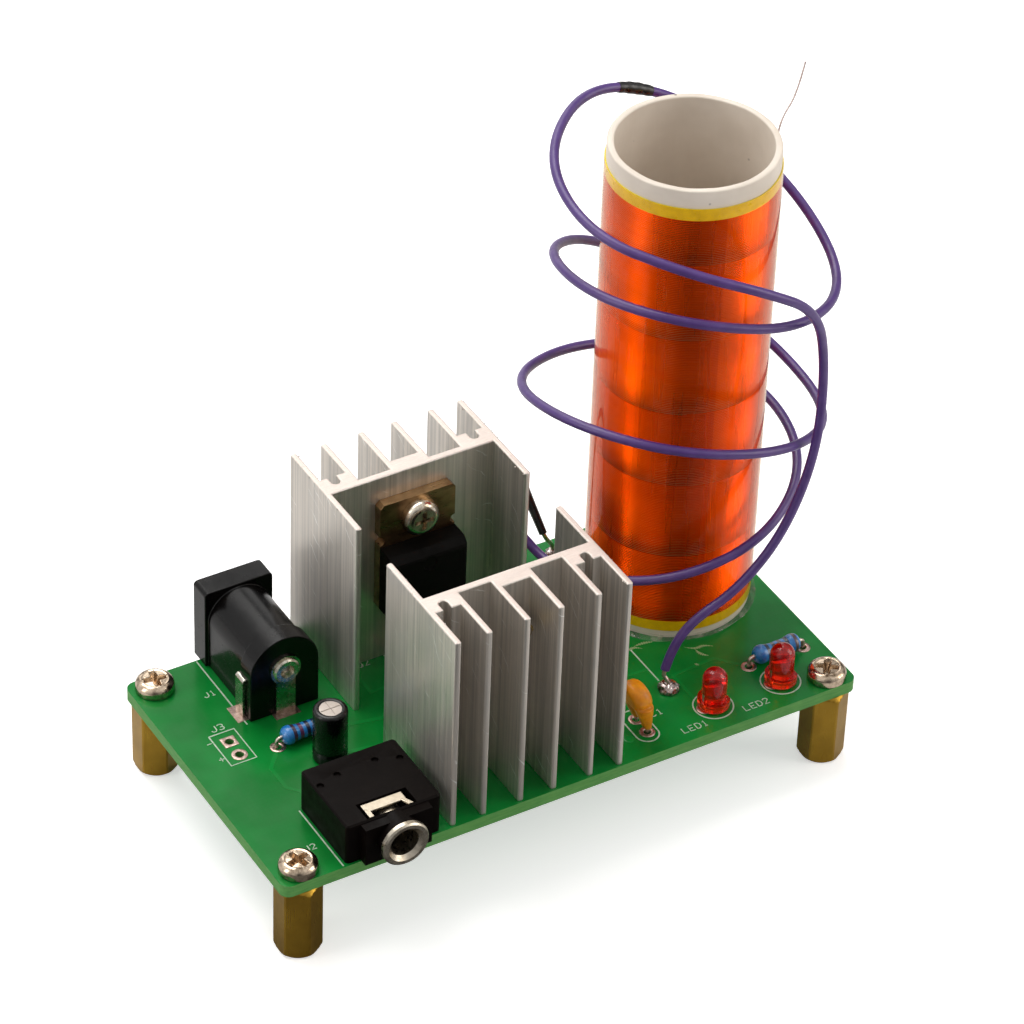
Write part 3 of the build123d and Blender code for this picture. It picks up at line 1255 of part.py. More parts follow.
def end_sleeve():
    """The black shrunk sleeve that carries on from the wire's end towards the board."""
    start = FORMER.from_local_coords(WIRE_ROUTE[-1])
    foot = FORMER.from_local_coords(SHRINK_FOOT)
    run = foot - start
    with BuildPart() as sleeve:
        with BuildSketch(Plane(origin=start, z_dir=run)):
            Circle(SHRINK_RADIUS)
        extrude(amount=run.length)
        chamfer(sleeve.edges(), length=CORE_RADIUS / 2)
        with BuildSketch(Plane(origin=foot, z_dir=run)):
            Circle(CORE_RADIUS + FIT)
        extrude(amount=-run.length / 2, mode=Mode.SUBTRACT)
    return sleeve


def primary_end_lead(grow=0.0):
    """The bare end of the core, from inside the black sleeve down through its pad."""
    start = Vector(*WIRE_ROUTE[-1])
    foot = Vector(*SHRINK_FOOT)
    inner = start + (foot - start) * CORE_START
    pad = (PRIMARY_END[0], PRIMARY_END[1], 0)
    knee = foot + (foot - start).normalized() * CORE_KNEE
    above = (pad[0], pad[1], END_BLOB_HEIGHT + CORE_KNEE)
    points = [tuple(inner), tuple(knee), above, (pad[0], pad[1], LEAD_FOOT)]
    return rod(FORMER, points, corner_radii(points), CORE_RADIUS + grow)


def primary_start_lead(grow=0.0):
    """The bare start of the core, from the insulation's end down through its pad."""
    start = Vector(*WIRE_ROUTE[0])
    along = (start - Vector(*WIRE_ROUTE[1])).normalized()
    knee = start + along * CORE_KNEE
    pad = (PRIMARY_START[0], PRIMARY_START[1], 0)
    above = (pad[0], pad[1], START_BLOB_HEIGHT)
    points = [tuple(start), tuple(knee), above, (pad[0], pad[1], LEAD_FOOT)]
    return rod(FORMER, points, corner_radii(points), CORE_RADIUS + grow)


def solder_dome(pad, radius, height):
    """A solder dome on the board's top at a pad given from the former's axis."""
    seat = Plane(origin=FORMER.from_local_coords((pad[0], pad[1], 0)), x_dir=FORMER.x_dir, z_dir=FORMER.z_dir)
    with BuildPart() as dome:
        with BuildSketch(section(seat)):
            with BuildLine():
                Polyline((0, height), (0, 0), (radius, 0))
                ThreePointArc((radius, 0), (radius * DOME_SHOULDER, height * DOME_SHOULDER), (0, height))
            make_face()
        revolve(axis=Axis(seat.origin, seat.z_dir))
    return dome


def primary_solder():
    """The two domes that hold the primary's ends on their pads, cast round the bare cores."""
    start = solder_dome(PRIMARY_START, START_BLOB_RADIUS, START_BLOB_HEIGHT)
    end = solder_dome(PRIMARY_END, END_BLOB_RADIUS, END_BLOB_HEIGHT)
    with BuildPart() as solder:
        add(start.part)
        add(end.part)
        add(primary_start_lead(FIT).part, mode=Mode.SUBTRACT)
        add(primary_end_lead(FIT).part, mode=Mode.SUBTRACT)
    return solder


def solder_joints():
    """The tapered joint under the board round every lead."""
    under = BOARD.offset(-BOARD_THICKNESS)
    with BuildPart() as joints:
        for spot, radius in round_lead_spots():
            with BuildSketch(under):
                with Locations(BOARD.to_local_coords(spot)):
                    Circle(radius + SOLDER_REACH)
            extrude(amount=-SOLDER_HEIGHT, taper=SOLDER_TAPER)
            with BuildSketch(under):
                with Locations(BOARD.to_local_coords(spot)):
                    Circle(radius + FIT)
            extrude(amount=-SOLDER_HEIGHT, mode=Mode.SUBTRACT)
        for spot, across, deep in flat_lead_spots():
            with BuildSketch(under):
                with Locations(BOARD.to_local_coords(spot)):
                    RectangleRounded(across + 2 * SOLDER_REACH, deep + 2 * SOLDER_REACH, SOLDER_REACH - FIT)
            extrude(amount=-SOLDER_HEIGHT, taper=SOLDER_TAPER)
            with BuildSketch(under):
                with Locations(BOARD.to_local_coords(spot)):
                    Rectangle(across + 2 * FIT, deep + 2 * FIT)
            extrude(amount=-SOLDER_HEIGHT, mode=Mode.SUBTRACT)
    return joints


def least_self_gap(line, radius):
    """The least gap between passes of a wire, measured on points of its centre line."""
    count = round(line.length / radius)
    points = [line @ (step / count) for step in range(count + 1)]
    skip = round(GAP_SKIP / radius)
    gaps = []
    for step, point in enumerate(points):
        gaps += [(point - other).length for other in points[step + skip:]]
    return min(gaps) - 2 * radius


save(circuit_board(), "circuit_board")
save(standoffs(), "standoffs")
save(standoff_screws(), "standoff_screws")
save(heat_sink(REAR_SEAT), "rear_heat_sink")
save(heat_sink(FRONT_SEAT), "front_heat_sink")
save(transistor_frame(REAR_SEAT), "rear_transistor_frame")
save(transistor_leads(REAR_SEAT), "rear_transistor_leads")
save(transistor_body(REAR_SEAT), "rear_transistor_body")
save(transistor_frame(FRONT_SEAT), "front_transistor_frame")
save(transistor_leads(FRONT_SEAT), "front_transistor_leads")
save(transistor_body(FRONT_SEAT), "front_transistor_body")
save(transistor_screws(), "transistor_screws")
save(dc_jack_housing(), "dc_jack_housing")
save(dc_jack_centre_pin(), "dc_jack_centre_pin")
save(dc_jack_rear_terminal(), "dc_jack_rear_terminal")
save(dc_jack_sleeve_spring(), "dc_jack_sleeve_spring")
save(dc_jack_sleeve_terminal(), "dc_jack_sleeve_terminal")
save(dc_jack_side_contact(), "dc_jack_side_contact")
save(audio_jack_housing(), "audio_jack_housing")
save(audio_jack_base(), "audio_jack_base")
save(audio_jack_collar(), "audio_jack_collar")
save(audio_jack_clip(), "audio_jack_clip")
save(audio_jack_tip_contact(), "audio_jack_tip_contact")
save(audio_jack_ring_contact(), "audio_jack_ring_contact")
save(audio_jack_ground_terminal(), "audio_jack_ground_terminal")
save(filter_capacitor_can(), "filter_capacitor_can")
save(filter_capacitor_sleeve(), "filter_capacitor_sleeve")
save(filter_capacitor_bung(), "filter_capacitor_bung")
save(filter_capacitor_leads(), "filter_capacitor_leads")
save(resistor_body(LEFT_RESISTOR), "left_resistor_body")
save(resistor_leads(LEFT_RESISTOR), "left_resistor_leads")
save(resistor_body(RIGHT_RESISTOR), "right_resistor_body")
save(resistor_leads(RIGHT_RESISTOR), "right_resistor_leads")
save(led_lens(LEFT_LED), "left_led_lens")
save(led_leadframe(LEFT_LED), "left_led_leadframe")
save(led_lens(RIGHT_LED), "right_led_lens")
save(led_leadframe(RIGHT_LED), "right_led_leadframe")
save(ceramic_capacitor_body(), "ceramic_capacitor_body")
save(ceramic_capacitor_leads(), "ceramic_capacitor_leads")
save(former_tube(), "former_tube")
save(secondary_winding(), "secondary_winding")
save(lower_end_band(), "lower_end_band")
save(upper_end_band(), "upper_end_band")
save(clear_film(), "clear_film")
save(base_glue(), "base_glue")
save(secondary_upper_lead(), "secondary_upper_lead")
save(secondary_lower_lead(), "secondary_lower_lead")
wire = primary_wire()
save(wire, "primary_wire")
save(splice_sleeve(), "splice_sleeve")
save(end_sleeve(), "end_sleeve")
save(primary_start_lead(), "primary_start_lead")
save(primary_end_lead(), "primary_end_lead")
save(primary_solder(), "primary_solder")
save(solder_joints(), "solder_joints")

centre_line = wire_line()
print("wire bend radii:", ", ".join(f"{radius:.1f}" for radius in corner_radii(WIRE_ROUTE)))
print("wire length:", round(centre_line.length, 1))
print("least gap between its passes:", round(least_self_gap(centre_line, WIRE_RADIUS), 2))
section_area = wire.part.volume / centre_line.length
print("wire volume over section times length:", round(section_area / (WIRE_RADIUS ** 2 * pi), 4))
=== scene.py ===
from math import cos, pi, radians, sin, tau

import bmesh
import bpy
from mathutils import Matrix, Vector, noise


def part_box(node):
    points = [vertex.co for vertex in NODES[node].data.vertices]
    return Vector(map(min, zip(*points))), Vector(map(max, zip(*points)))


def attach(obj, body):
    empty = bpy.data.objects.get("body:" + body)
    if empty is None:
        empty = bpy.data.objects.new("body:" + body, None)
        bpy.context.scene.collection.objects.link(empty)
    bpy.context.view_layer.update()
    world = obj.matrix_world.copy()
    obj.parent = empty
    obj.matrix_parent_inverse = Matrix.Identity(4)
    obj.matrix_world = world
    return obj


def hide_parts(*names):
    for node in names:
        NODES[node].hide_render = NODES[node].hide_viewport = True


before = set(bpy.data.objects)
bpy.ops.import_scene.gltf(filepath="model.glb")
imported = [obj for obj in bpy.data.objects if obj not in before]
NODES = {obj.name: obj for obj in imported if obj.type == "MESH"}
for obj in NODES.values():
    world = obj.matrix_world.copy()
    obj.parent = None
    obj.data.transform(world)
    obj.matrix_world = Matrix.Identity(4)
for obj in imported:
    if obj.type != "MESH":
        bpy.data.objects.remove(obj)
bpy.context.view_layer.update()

bl_info = {
    "name": "Resonant transformer kit",
    "version": (1, 0, 0),
    "blender": (4, 5, 0),
    "location": "3D View > Sidebar > Kit",
    "description": "Gives a small wound transformer kit on a circuit board its pieces and finishes",
    "category": "Object",
}

MM = 0.001

BOARD_LOW, BOARD_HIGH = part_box("circuit_board")
BOARD_MIDDLE = (BOARD_LOW + BOARD_HIGH) / 2
BOARD_TOP = BOARD_HIGH.z
PIPE_LOW, PIPE_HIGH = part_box("former_tube")
PIPE_AXIS = (PIPE_LOW + PIPE_HIGH) / 2
PIPE_RADIUS = (PIPE_HIGH.x - PIPE_LOW.x) / 2


def at(x, y, z=0.0):
    """A place in millimetres from the middle of the board's top."""
    return Vector((BOARD_MIDDLE.x + x * MM, BOARD_MIDDLE.y + y * MM, BOARD_TOP + z * MM))


def round_pipe(x, y, z=0.0):
    """A place in millimetres from the pipe's axis, up from the board's top."""
    return Vector((PIPE_AXIS.x + x * MM, PIPE_AXIS.y + y * MM, BOARD_TOP + z * MM))


def profile(level, pairs, radius=0.0):
    """An outline for turned(), from pairs of millimetres out from a radius and up from a level."""
    return [(radius + out * MM, level + up * MM) for out, up in pairs]


def srgb(code):
    """A colour written as six hexadecimal digits, as the linear values that Blender keeps."""
    parts = [int(code[i:i + 2], 16) / 255 for i in (0, 2, 4)]
    return [c / 12.92 if c <= 0.04045 else ((c + 0.055) / 1.055) ** 2.4 for c in parts] + [1.0]


# The primary wire's route, in millimetres from the pipe's axis and the board's top.
WIRE_ROUTE = [
    (-10.3, -16.1, 2.6), (-9.4, -15.8, 5.0), (-6.8, -15.8, 8.4), (-0.8, -16.3, 11.3),
    (4.8, -16.7, 18.0), (8.4, -16.9, 28.9), (9.8, -15.1, 39.8), (6.2, -17.7, 50.2),
    (-1.2, -17.9, 55.2), (-9.3, -14.4, 58.2), (-17.0, -4.9, 60.2), (-14.8, 8.6, 62.2),
    (-3.8, 17.1, 64.0), (9.2, 14.6, 59.0), (17.2, 4.1, 50.5), (16.6, -9.1, 44.8),
    (5.2, -16.2, 46.6), (-8.8, -14.4, 51.0), (-15.8, -3.9, 51.0), (-14.3, 8.6, 49.0),
    (-3.8, 16.1, 43.0), (8.7, 14.1, 34.5), (16.7, 4.6, 27.5), (16.2, -9.1, 25.8),
    (4.7, -17.1, 30.0), (-9.3, -15.4, 33.5), (-18.3, -4.4, 34.0), (-17.3, 10.6, 30.0),
    (-4.3, 18.1, 26.0), (9.2, 14.6, 24.0), (15.7, 3.6, 21.5), (13.2, -8.4, 19.5),
    (3.7, -14.9, 16.0), (-7.8, -12.9, 12.5), (-14.8, -3.4, 9.0), (-15.4, 3.1, 7.0),
    (-17.0, 7.7, 9.6), (-19.4, 11.7, 12.8), (-19.4, 15.9, 15.6), (-16.0, 18.5, 15.6),
    (-12.5, 17.3, 12.4), (-11.7, 15.0, 9.1),
]
SHRINK_FOOT = (-10.8, 11.4, 3.9)
SPLICE = (0.1146, 0.1192)       # metres along the wire

# The photograph's camera: its place in millimetres from the middle of the board's top, and its angles.
CAMERA_PLACE = (-226.369, -371.069, 368.582)
CAMERA_TURN, CAMERA_TILT, CAMERA_ROLL = radians(31.588), radians(38.269), radians(2.214)
FOCAL_PIXELS, PHOTO_PIXELS, SENSOR = 4826.97, 1024, 36.0
PRINT_LIFT = 0.02               # of the print's middle over the board's top, in millimetres
WRAP_JOIN = 33.6                # height in millimetres at which the film's upper wrap meets the lower

# Strokes of the printed letters, on a grid four wide and six high.
STROKES = {
    "J": [[(4, 6), (4, 1.5), (3, 0), (1, 0), (0, 1.5)]],
    "L": [[(0, 6), (0, 0), (4, 0)]],
    "E": [[(4, 6), (0, 6), (0, 0), (4, 0)], [(0, 3), (3, 3)]],
    "D": [[(0, 0), (0, 6), (2.5, 6), (4, 4.5), (4, 1.5), (2.5, 0), (0, 0)]],
    "Q": [[(1, 0), (0, 1.5), (0, 4.5), (1, 6), (3, 6), (4, 4.5), (4, 1.5), (3, 0), (1, 0)], [(2.5, 1.5), (4, 0)]],
    "C": [[(4, 5), (3, 6), (1, 6), (0, 4.5), (0, 1.5), (1, 0), (3, 0), (4, 1)]],
    "R": [[(0, 0), (0, 6), (3, 6), (4, 5), (4, 4), (3, 3), (0, 3)], [(2, 3), (4, 0)]],
    "1": [[(0.8, 4.8), (2, 6), (2, 0)], [(0.8, 0), (3.2, 0)]],
    "2": [[(0, 5), (1, 6), (3, 6), (4, 5), (4, 4), (0, 0), (4, 0)]],
    "3": [[(0, 5.4), (1, 6), (3, 6), (4, 5), (4, 4), (3, 3), (4, 2), (4, 1), (3, 0), (1, 0), (0, 0.6)],
          [(1.5, 3), (3, 3)]],
    "+": [[(2, 1), (2, 5)], [(0, 3), (4, 3)]],
    "-": [[(0, 3), (4, 3)]],
}
PRINTED = [                     # text, left end and height in millimetres
    ("J1", -31.1, 13.4, 0.85), ("J2", -33.4, -15.7, 0.85), ("J3", -33.2, 7.5, 0.95), ("Q2", -12.6, 9.7, 0.9),
    ("Q1", -12.7, -14.4, 0.9), ("LED1", 15.2, -18.6, 0.9), ("LED2", 23.7, -18.6, 0.9), ("C1", 13.4, -14.3, 0.9),
    ("C2", -20.4, -4.9, 0.8), ("+", -34.8, 2.3, 1.0), ("-", -34.8, 5.4, 0.9),
]
# Printed outlines and lines on the board's top, in millimetres from its middle.
OUTLINES = [
    [(-29.0, 19.8), (-29.0, 6.9)],
    [(-30.8, -9.2), (-30.8, -19.8)],
    [(-34.0, 7.0), (-30.7, 7.0), (-30.7, 1.3), (-34.0, 1.3), (-34.0, 7.0)],
    [(17.5, -2.7), (17.5, -9.1)],
    [(-11.7, 12.1), (-8.9, 12.0), (-8.9, 10.2)],
]
RINGS_PRINTED = [(20.8, -15.9, 2.4), (30.2, -15.9, 2.4)]
# Copper under the mask: the top's few runs and the underside's many, with each run's width.
TOP_RUNS = [
    (0.5, [(-27.7, 1.7), (-30.2, -1.2), (-30.2, -5.0), (-27.9, -7.6)]),
    (0.6, [(-20.1, 1.7), (-15.0, 0.6), (-9.9, 0.6), (-7.9, -8.2)]),
    (0.6, [(-22.4, -2.6), (-17.0, -3.6), (-5.4, -3.6), (-2.9, -8.2)]),
    (0.6, [(-13.5, 13.0), (-13.5, 5.2), (-7.9, 5.2), (-7.9, 7.8)]),
    (0.8, [(6.8, -18.4), (6.8, 3.4), (12.0, 8.6), (17.2, 17.6)]),
    (0.5, [(8.9, -16.3), (8.9, -6.2), (17.4, -6.6), (17.5, -10.6)]),
    (0.5, [(19.5, -15.9), (19.5, -9.0), (25.4, -8.6), (28.3, -11.9)]),
]
UNDER_RUNS = [
    (2.0, [(-32.2, 5.2), (-32.2, 12.4), (-27.0, 17.4), (-15.0, 17.4), (-8.0, 15.4), (-8.0, 7.8)]),
    (2.0, [(-24.0, 11.2), (-18.4, 11.2), (-18.4, -5.4), (-7.9, -8.2)]),
    (1.0, [(-32.2, 2.6), (-32.2, -6.5), (-27.9, -9.8)]),
    (0.8, [(-27.7, 1.7), (-27.7, -3.6), (-23.9, -2.6)]),
    (0.8, [(-22.4, -2.6), (-16.4, -2.6), (-5.4, 4.6), (-5.4, 7.8)]),
    (0.8, [(-20.1, 1.7), (-12.0, 1.7), (-5.4, -4.9), (-5.4, -8.2)]),
    (1.2, [(-2.9, 7.8), (4.6, 7.8), (9.6, 13.4), (17.6, 17.4)]),
    (1.2, [(-2.9, -8.2), (4.6, -8.2), (4.6, -1.6), (17.5, -10.6)]),
    (0.6, [(8.9, -16.3), (8.9, -12.4), (4.6, -8.2)]),
    (0.6, [(11.5, -16.3), (16.2, -18.2), (29.0, -18.2), (29.0, -15.9)]),
    (0.6, [(22.1, -15.9), (22.1, -12.6), (28.3, -11.9)]),
    (0.6, [(31.5, -15.9), (36.2, -13.4), (35.9, -11.9)]),
    (0.6, [(25.2, 5.7), (25.2, 0.0), (17.5, -10.6)]),
]
RING_PADS = [
    (-27.72, 1.7), (-20.1, 1.7), (-23.95, -2.6), (-22.45, -2.6), (28.29, -11.9), (35.91, -11.9),
    (11.47, -16.3), (11.47, -13.76), (19.53, -15.9), (22.07, -15.9), (28.93, -15.9), (31.47, -15.9),
    (17.5, -10.9), (18.7, 17.6),
    (-7.94, 7.8), (-5.4, 7.8), (-2.86, 7.8), (-7.94, -8.35), (-5.4, -8.35), (-2.86, -8.35),
]
SQUARE_PADS = [                 # middle, width and depth in millimetres
    (-24.0, 6.7, 3.3, 1.5), (-29.1, 9.1, 1.4, 3.0),
]
GLUE_STRINGS = [                # on the board's top
    [(16.6, -1.9), (17.2, -2.7), (18.1, -2.3), (18.9, -3.1)], [(18.2, -2.3), (19.6, -2.1), (20.6, -2.6)],
    [(23.4, -5.2), (24.4, -6.2), (25.7, -5.9), (26.6, -6.7)], [(24.4, -6.2), (24.2, -7.2), (25.2, -7.9)],
    [(22.9, -8.4), (23.2, -8.9)],
]
RESISTOR_RINGS = {              # millimetres from the middle, and colour
    "left": ((-1.75, "3A1210"), (-0.85, "5A1438"), (0.05, "15101C"), (0.95, "15101C"), (2.2, "5A2A14")),
    "right": ((-1.5, "14101E"), (-0.6, "14101E"), (0.3, "3A1210"), (1.2, "14101E"), (2.3, "4A2A1A")),
}
HEADER_PADS = [(-32.25, 5.15, True), (-32.25, 2.6, False)]      # middle, and whether it is square


# ------------------------------------------------------------------ what a user would change

class KitSizes(bpy.types.PropertyGroup):
    """Sizes of the finished pieces."""
    wire_thickness: bpy.props.FloatProperty(
        name="Wire thickness", description="Over the primary wire's insulation",
        default=1.15 * MM, min=0.6 * MM, max=2.0 * MM, subtype="DISTANCE", unit="LENGTH")
    winding_pitch: bpy.props.FloatProperty(
        name="Winding pitch", description="Height of one turn as it is drawn; the real one is finer",
        default=0.24 * MM, min=0.1 * MM, max=0.6 * MM, subtype="DISTANCE", unit="LENGTH")
    print_width: bpy.props.FloatProperty(
        name="Print width", description="Width of the printed lines on the board",
        default=0.17 * MM, min=0.1 * MM, max=0.4 * MM, subtype="DISTANCE", unit="LENGTH")
    edge: bpy.props.FloatProperty(
        name="Moulded edge", description="Radius of the moulded and cut edges",
        default=0.09 * MM, min=0.0, max=0.2 * MM, subtype="DISTANCE", unit="LENGTH")
    burrs: bpy.props.IntProperty(
        name="Burrs", description="Specks of metal left by the saw on each heat sink", default=70, min=0, max=300)
    light: bpy.props.FloatProperty(
        name="Light", description="Level of the studio lamps", default=1.0, min=0.1, max=3.0, subtype="FACTOR")


class KitColours(bpy.types.PropertyGroup):
    """Colours of the finished pieces."""
    insulation: bpy.props.FloatVectorProperty(
        name="Insulation", description="Plastic cover of the primary wire",
        default=srgb("45266E"), size=4, min=0.0, max=1.0, subtype="COLOR")
    mask: bpy.props.FloatVectorProperty(
        name="Solder mask", description="Lacquer over the board's copper",
        default=srgb("0B8A33"), size=4, min=0.0, max=1.0, subtype="COLOR")
    enamel: bpy.props.FloatVectorProperty(
        name="Enamelled wire", description="Copper under its enamel",
        default=srgb("E85E02"), size=4, min=0.0, max=1.0, subtype="COLOR")
    lens: bpy.props.FloatVectorProperty(
        name="Lamp lens", description="Tinted resin of the indicator lamps",
        default=srgb("E80A04"), size=4, min=0.0, max=1.0, subtype="COLOR")
    brass: bpy.props.FloatVectorProperty(
        name="Brass", description="Turned brass of the standoffs",
        default=srgb("B08A2C"), size=4, min=0.0, max=1.0, subtype="COLOR")


# ------------------------------------------------------------------ nodes, meshes and pieces

def put(made, inputs):
    """Sets a node's inputs, each to a value or to a link from another node's socket."""
    for name, value in inputs.items():
        socket = made.inputs[name]
        if isinstance(value, bpy.types.NodeSocket):
            made.id_data.links.new(value, socket)
        else:
            socket.default_value = value
    return made


def add(tree, kind, inputs=None, **settings):
    """Adds a node with its settings and inputs."""
    made = tree.nodes.new(kind)
    for name, value in settings.items():
        setattr(made, name, value)
    return put(made, inputs or {})


def across(tree, stretch=(1, 1, 1)):
    """Object coordinates, stretched along each axis."""
    place = add(tree, "ShaderNodeTexCoord").outputs["Object"]
    return add(tree, "ShaderNodeMapping", {"Vector": place, "Scale": stretch}).outputs["Vector"]


def facing(tree, axis):
    """How far a surface faces along one of the object's axes."""
    normal = add(tree, "ShaderNodeTexCoord").outputs["Normal"]
    return add(tree, "ShaderNodeSeparateXYZ", {"Vector": normal}).outputs[axis]


def height(tree, axis="Z"):
    """A place along one of the object's axes."""
    return add(tree, "ShaderNodeSeparateXYZ", {"Vector": across(tree)}).outputs[axis]


def cloud(tree, size, detail=3.0, stretch=(1, 1, 1), roughness=0.55):
    """Soft noise whose patches are about size millimetres wide."""
    return add(tree, "ShaderNodeTexNoise", {"Vector": across(tree, stretch), "Scale": 1 / (size * MM),
                                            "Detail": detail, "Roughness": roughness}).outputs["Fac"]


def cells(tree, size):
    """Distance from the nearest of scattered points, about size millimetres apart."""
    return add(tree, "ShaderNodeTexVoronoi", {"Vector": across(tree), "Scale": 1 / (size * MM)}).outputs["Distance"]


def weave_of(tree, size, axis):
    """Even bands across one axis, size millimetres apart."""
    return add(tree, "ShaderNodeTexWave", {"Vector": across(tree), "Scale": 1 / (size * MM)},
               bands_direction=axis).outputs["Fac"]


def lean_to(tree, way, toward):
    """How far one direction points along another."""
    return add(tree, "ShaderNodeVectorMath", {0: way, 1: toward}, operation="DOT_PRODUCT").outputs["Value"]


def spread(tree, value, low, high, start=0.0, end=1.0):
    """Stretches a value from one range to another, held at its ends."""
    return add(tree, "ShaderNodeMapRange", {"Value": value, "From Min": low, "From Max": high,
                                            "To Min": start, "To Max": end}).outputs["Result"]


def calc(tree, operation, first, second=0.0):
    """Arithmetic on two values."""
    return add(tree, "ShaderNodeMath", {0: first, 1: second}, operation=operation).outputs[0]


def tint(tree, share, first, second):
    """A colour between two others."""
    return add(tree, "ShaderNodeMix", {0: share, 6: first, 7: second}, data_type="RGBA").outputs[2]


def relief(tree, value, depth, strength=1.0, below=None):
    """A surface normal from heights depth millimetres deep."""
    inputs = {"Height": value, "Distance": depth * MM, "Strength": strength}
    if below:
        inputs["Normal"] = below
    return add(tree, "ShaderNodeBump", inputs).outputs["Normal"]


def mottled(tree, first, second, low, high, *patches):
    """One colour with patches of another, which starts at noise low and is whole at high; patches go to cloud."""
    return tint(tree, spread(tree, cloud(tree, *patches), low, high), srgb(first), srgb(second))


def uneven(tree, low, high, *patches):
    """A value that wanders between two limits; patches go to cloud."""
    return spread(tree, cloud(tree, *patches), 0.3, 0.7, low, high)


def bumps(tree, depth, strength, *patches):
    """A normal over lumps depth millimetres deep; patches go to cloud."""
    return relief(tree, cloud(tree, *patches), depth, strength)


def shade(colour, factors, lift=0.0):
    """A colour with each channel times a factor and lifted a little."""
    return tuple(min(1.0, c * f + lift) for c, f in zip(colour[:3], factors)) + (1.0,)


def bare(name):
    """A new material with an empty tree."""
    made = bpy.data.materials.new(name)
    made.use_nodes = True
    made.node_tree.nodes.clear()
    return made, made.node_tree


def finish(name, inputs, metal=False):
    """A new material with one Principled shader; returns it, its tree and the shader."""
    made, tree = bare(name)
    shader = add(tree, "ShaderNodeBsdfPrincipled", inputs)
    shader.inputs["Metallic"].default_value = 1.0 if metal else 0.0
    add(tree, "ShaderNodeOutputMaterial", {"Surface": shader.outputs[0]})
    return made, tree, shader


def carry(name, data, material, body="coil_board", stands_for=()):
    """Puts a finished shape on its body, with its material, and hides the CAD nodes that it stands for."""
    made = bpy.data.objects.new(name, data)
    bpy.context.scene.collection.objects.link(made)
    data.materials.clear()
    data.materials.append(material)
    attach(made, body)
    if stands_for:
        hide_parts(*stands_for)
    return made


def repaint(material, *names):
    """Gives CAD nodes a material."""
    for name in names:
        NODES[name].data.materials.clear()
        NODES[name].data.materials.append(material)


def settled(shape, name, crease=35.0):
    """A mesh from a bmesh: faces outward, smooth but for its sharp edges."""
    bmesh.ops.recalc_face_normals(shape, faces=shape.faces)
    mesh = bpy.data.meshes.new(name)
    shape.to_mesh(mesh)
    shape.free()
    mesh.shade_smooth()
    mesh.set_sharp_from_angle(angle=radians(crease))
    return mesh


def changed(mesh, *modifiers):
    """A mesh after some modifiers, each given as its kind and settings."""
    holder = bpy.data.objects.new("holder", mesh)
    bpy.context.scene.collection.objects.link(holder)
    for kind, settings in modifiers:
        modifier = holder.modifiers.new(kind.lower(), kind)
        for name, value in settings.items():
            setattr(modifier, name, value)
    made = bpy.data.meshes.new_from_object(holder.evaluated_get(bpy.context.evaluated_depsgraph_get()))
    bpy.data.objects.remove(holder)
    return made


def merged(node):
    """A CAD node's mesh as a bmesh with its doubles merged and its flat faces whole."""
    shape = bmesh.new()
    shape.from_mesh(NODES[node].data)
    bmesh.ops.remove_doubles(shape, verts=shape.verts, dist=0.001 * MM)
    bmesh.ops.dissolve_limit(shape, angle_limit=radians(0.8), verts=shape.verts, edges=shape.edges)
    return shape


def gather(shape, part):
    """Adds one bmesh to another and frees it."""
    mesh = bpy.data.meshes.new("part")
    part.to_mesh(mesh)
    part.free()
    shape.from_mesh(mesh)


def eased(node, name, material, body="coil_board", edge=None, crease=30.0):
    """Stands for a CAD node with a copy whose edges are rounded."""
    width = bpy.context.scene.kit_sizes.edge if edge is None else edge * MM
    mesh = changed(settled(merged(node), name, crease),
                   ("BEVEL", {"width": width, "segments": 2, "limit_method": "ANGLE", "angle_limit": radians(crease),
                              "harden_normals": True, "use_clamp_overlap": True}))
    return carry(name, mesh, material, body, (node,))


def roughen(mesh, size, depth, grow=0.0):
    """Moves each point of a mesh along its normal by noise of a size and depth in millimetres."""
    normals = [spot.vector.copy() for spot in mesh.vertex_normals]
    for spot, normal in zip(mesh.vertices, normals):
        lump = noise.noise(spot.co / (size * MM)) + 0.5 * noise.noise(spot.co / (size * 0.4 * MM))
        spot.co += normal * (lump * depth + grow) * MM


def turned(outline, axis, count, wave=None):
    """A closed shape turned from an outline of radius and height, in metres; wave shifts each point."""
    shape = bmesh.new()
    rings = []
    for step in range(count):
        turn = tau * step / count
        ring = []
        for radius, up in outline:
            if wave:
                radius, up = wave(radius, up, turn)
            ring.append(shape.verts.new((axis.x + radius * cos(turn), axis.y + radius * sin(turn), up)))
        rings.append(ring)
    for near, far in zip(rings, rings[1:] + rings[:1]):
        for i in range(len(outline)):
            j = (i + 1) % len(outline)
            shape.faces.new((near[i], far[i], far[j], near[j]))
    return shape


def tube(points, radii, sides=16):
    """A closed tube round a line of points, with a radius at each."""
    shape = bmesh.new()
    rings = []
    side = None
    for i, point in enumerate(points):
        along = (points[min(i + 1, len(points) - 1)] - points[max(i - 1, 0)]).normalized()
        side = (along.orthogonal() if side is None else side - along * side.dot(along)).normalized()
        other = along.cross(side)
        rings.append([shape.verts.new(point + (side * cos(tau * k / sides) + other * sin(tau * k / sides)) * radii[i])
                      for k in range(sides)])
    for near, far in zip(rings, rings[1:]):
        for k in range(sides):
            shape.faces.new((near[k], near[(k + 1) % sides], far[(k + 1) % sides], far[k]))
    shape.faces.new(reversed(rings[0]))
    shape.faces.new(rings[-1])
    return shape


def spline(name, points, thickness=0.0):
    """A smooth curve that has these control points."""
    data = bpy.data.curves.new(name, "CURVE")
    data.dimensions = "3D"
    line = data.splines.new("NURBS")
    line.points.add(len(points) - 1)
    for spot, point in zip(line.points, points):
        spot.co = (*point, 1.0)
    line.order_u = 3
    line.use_endpoint_u = True
    line.resolution_u = 12
    data.bevel_depth = thickness / 2
    data.bevel_resolution = 5
    data.use_fill_caps = True
    return data


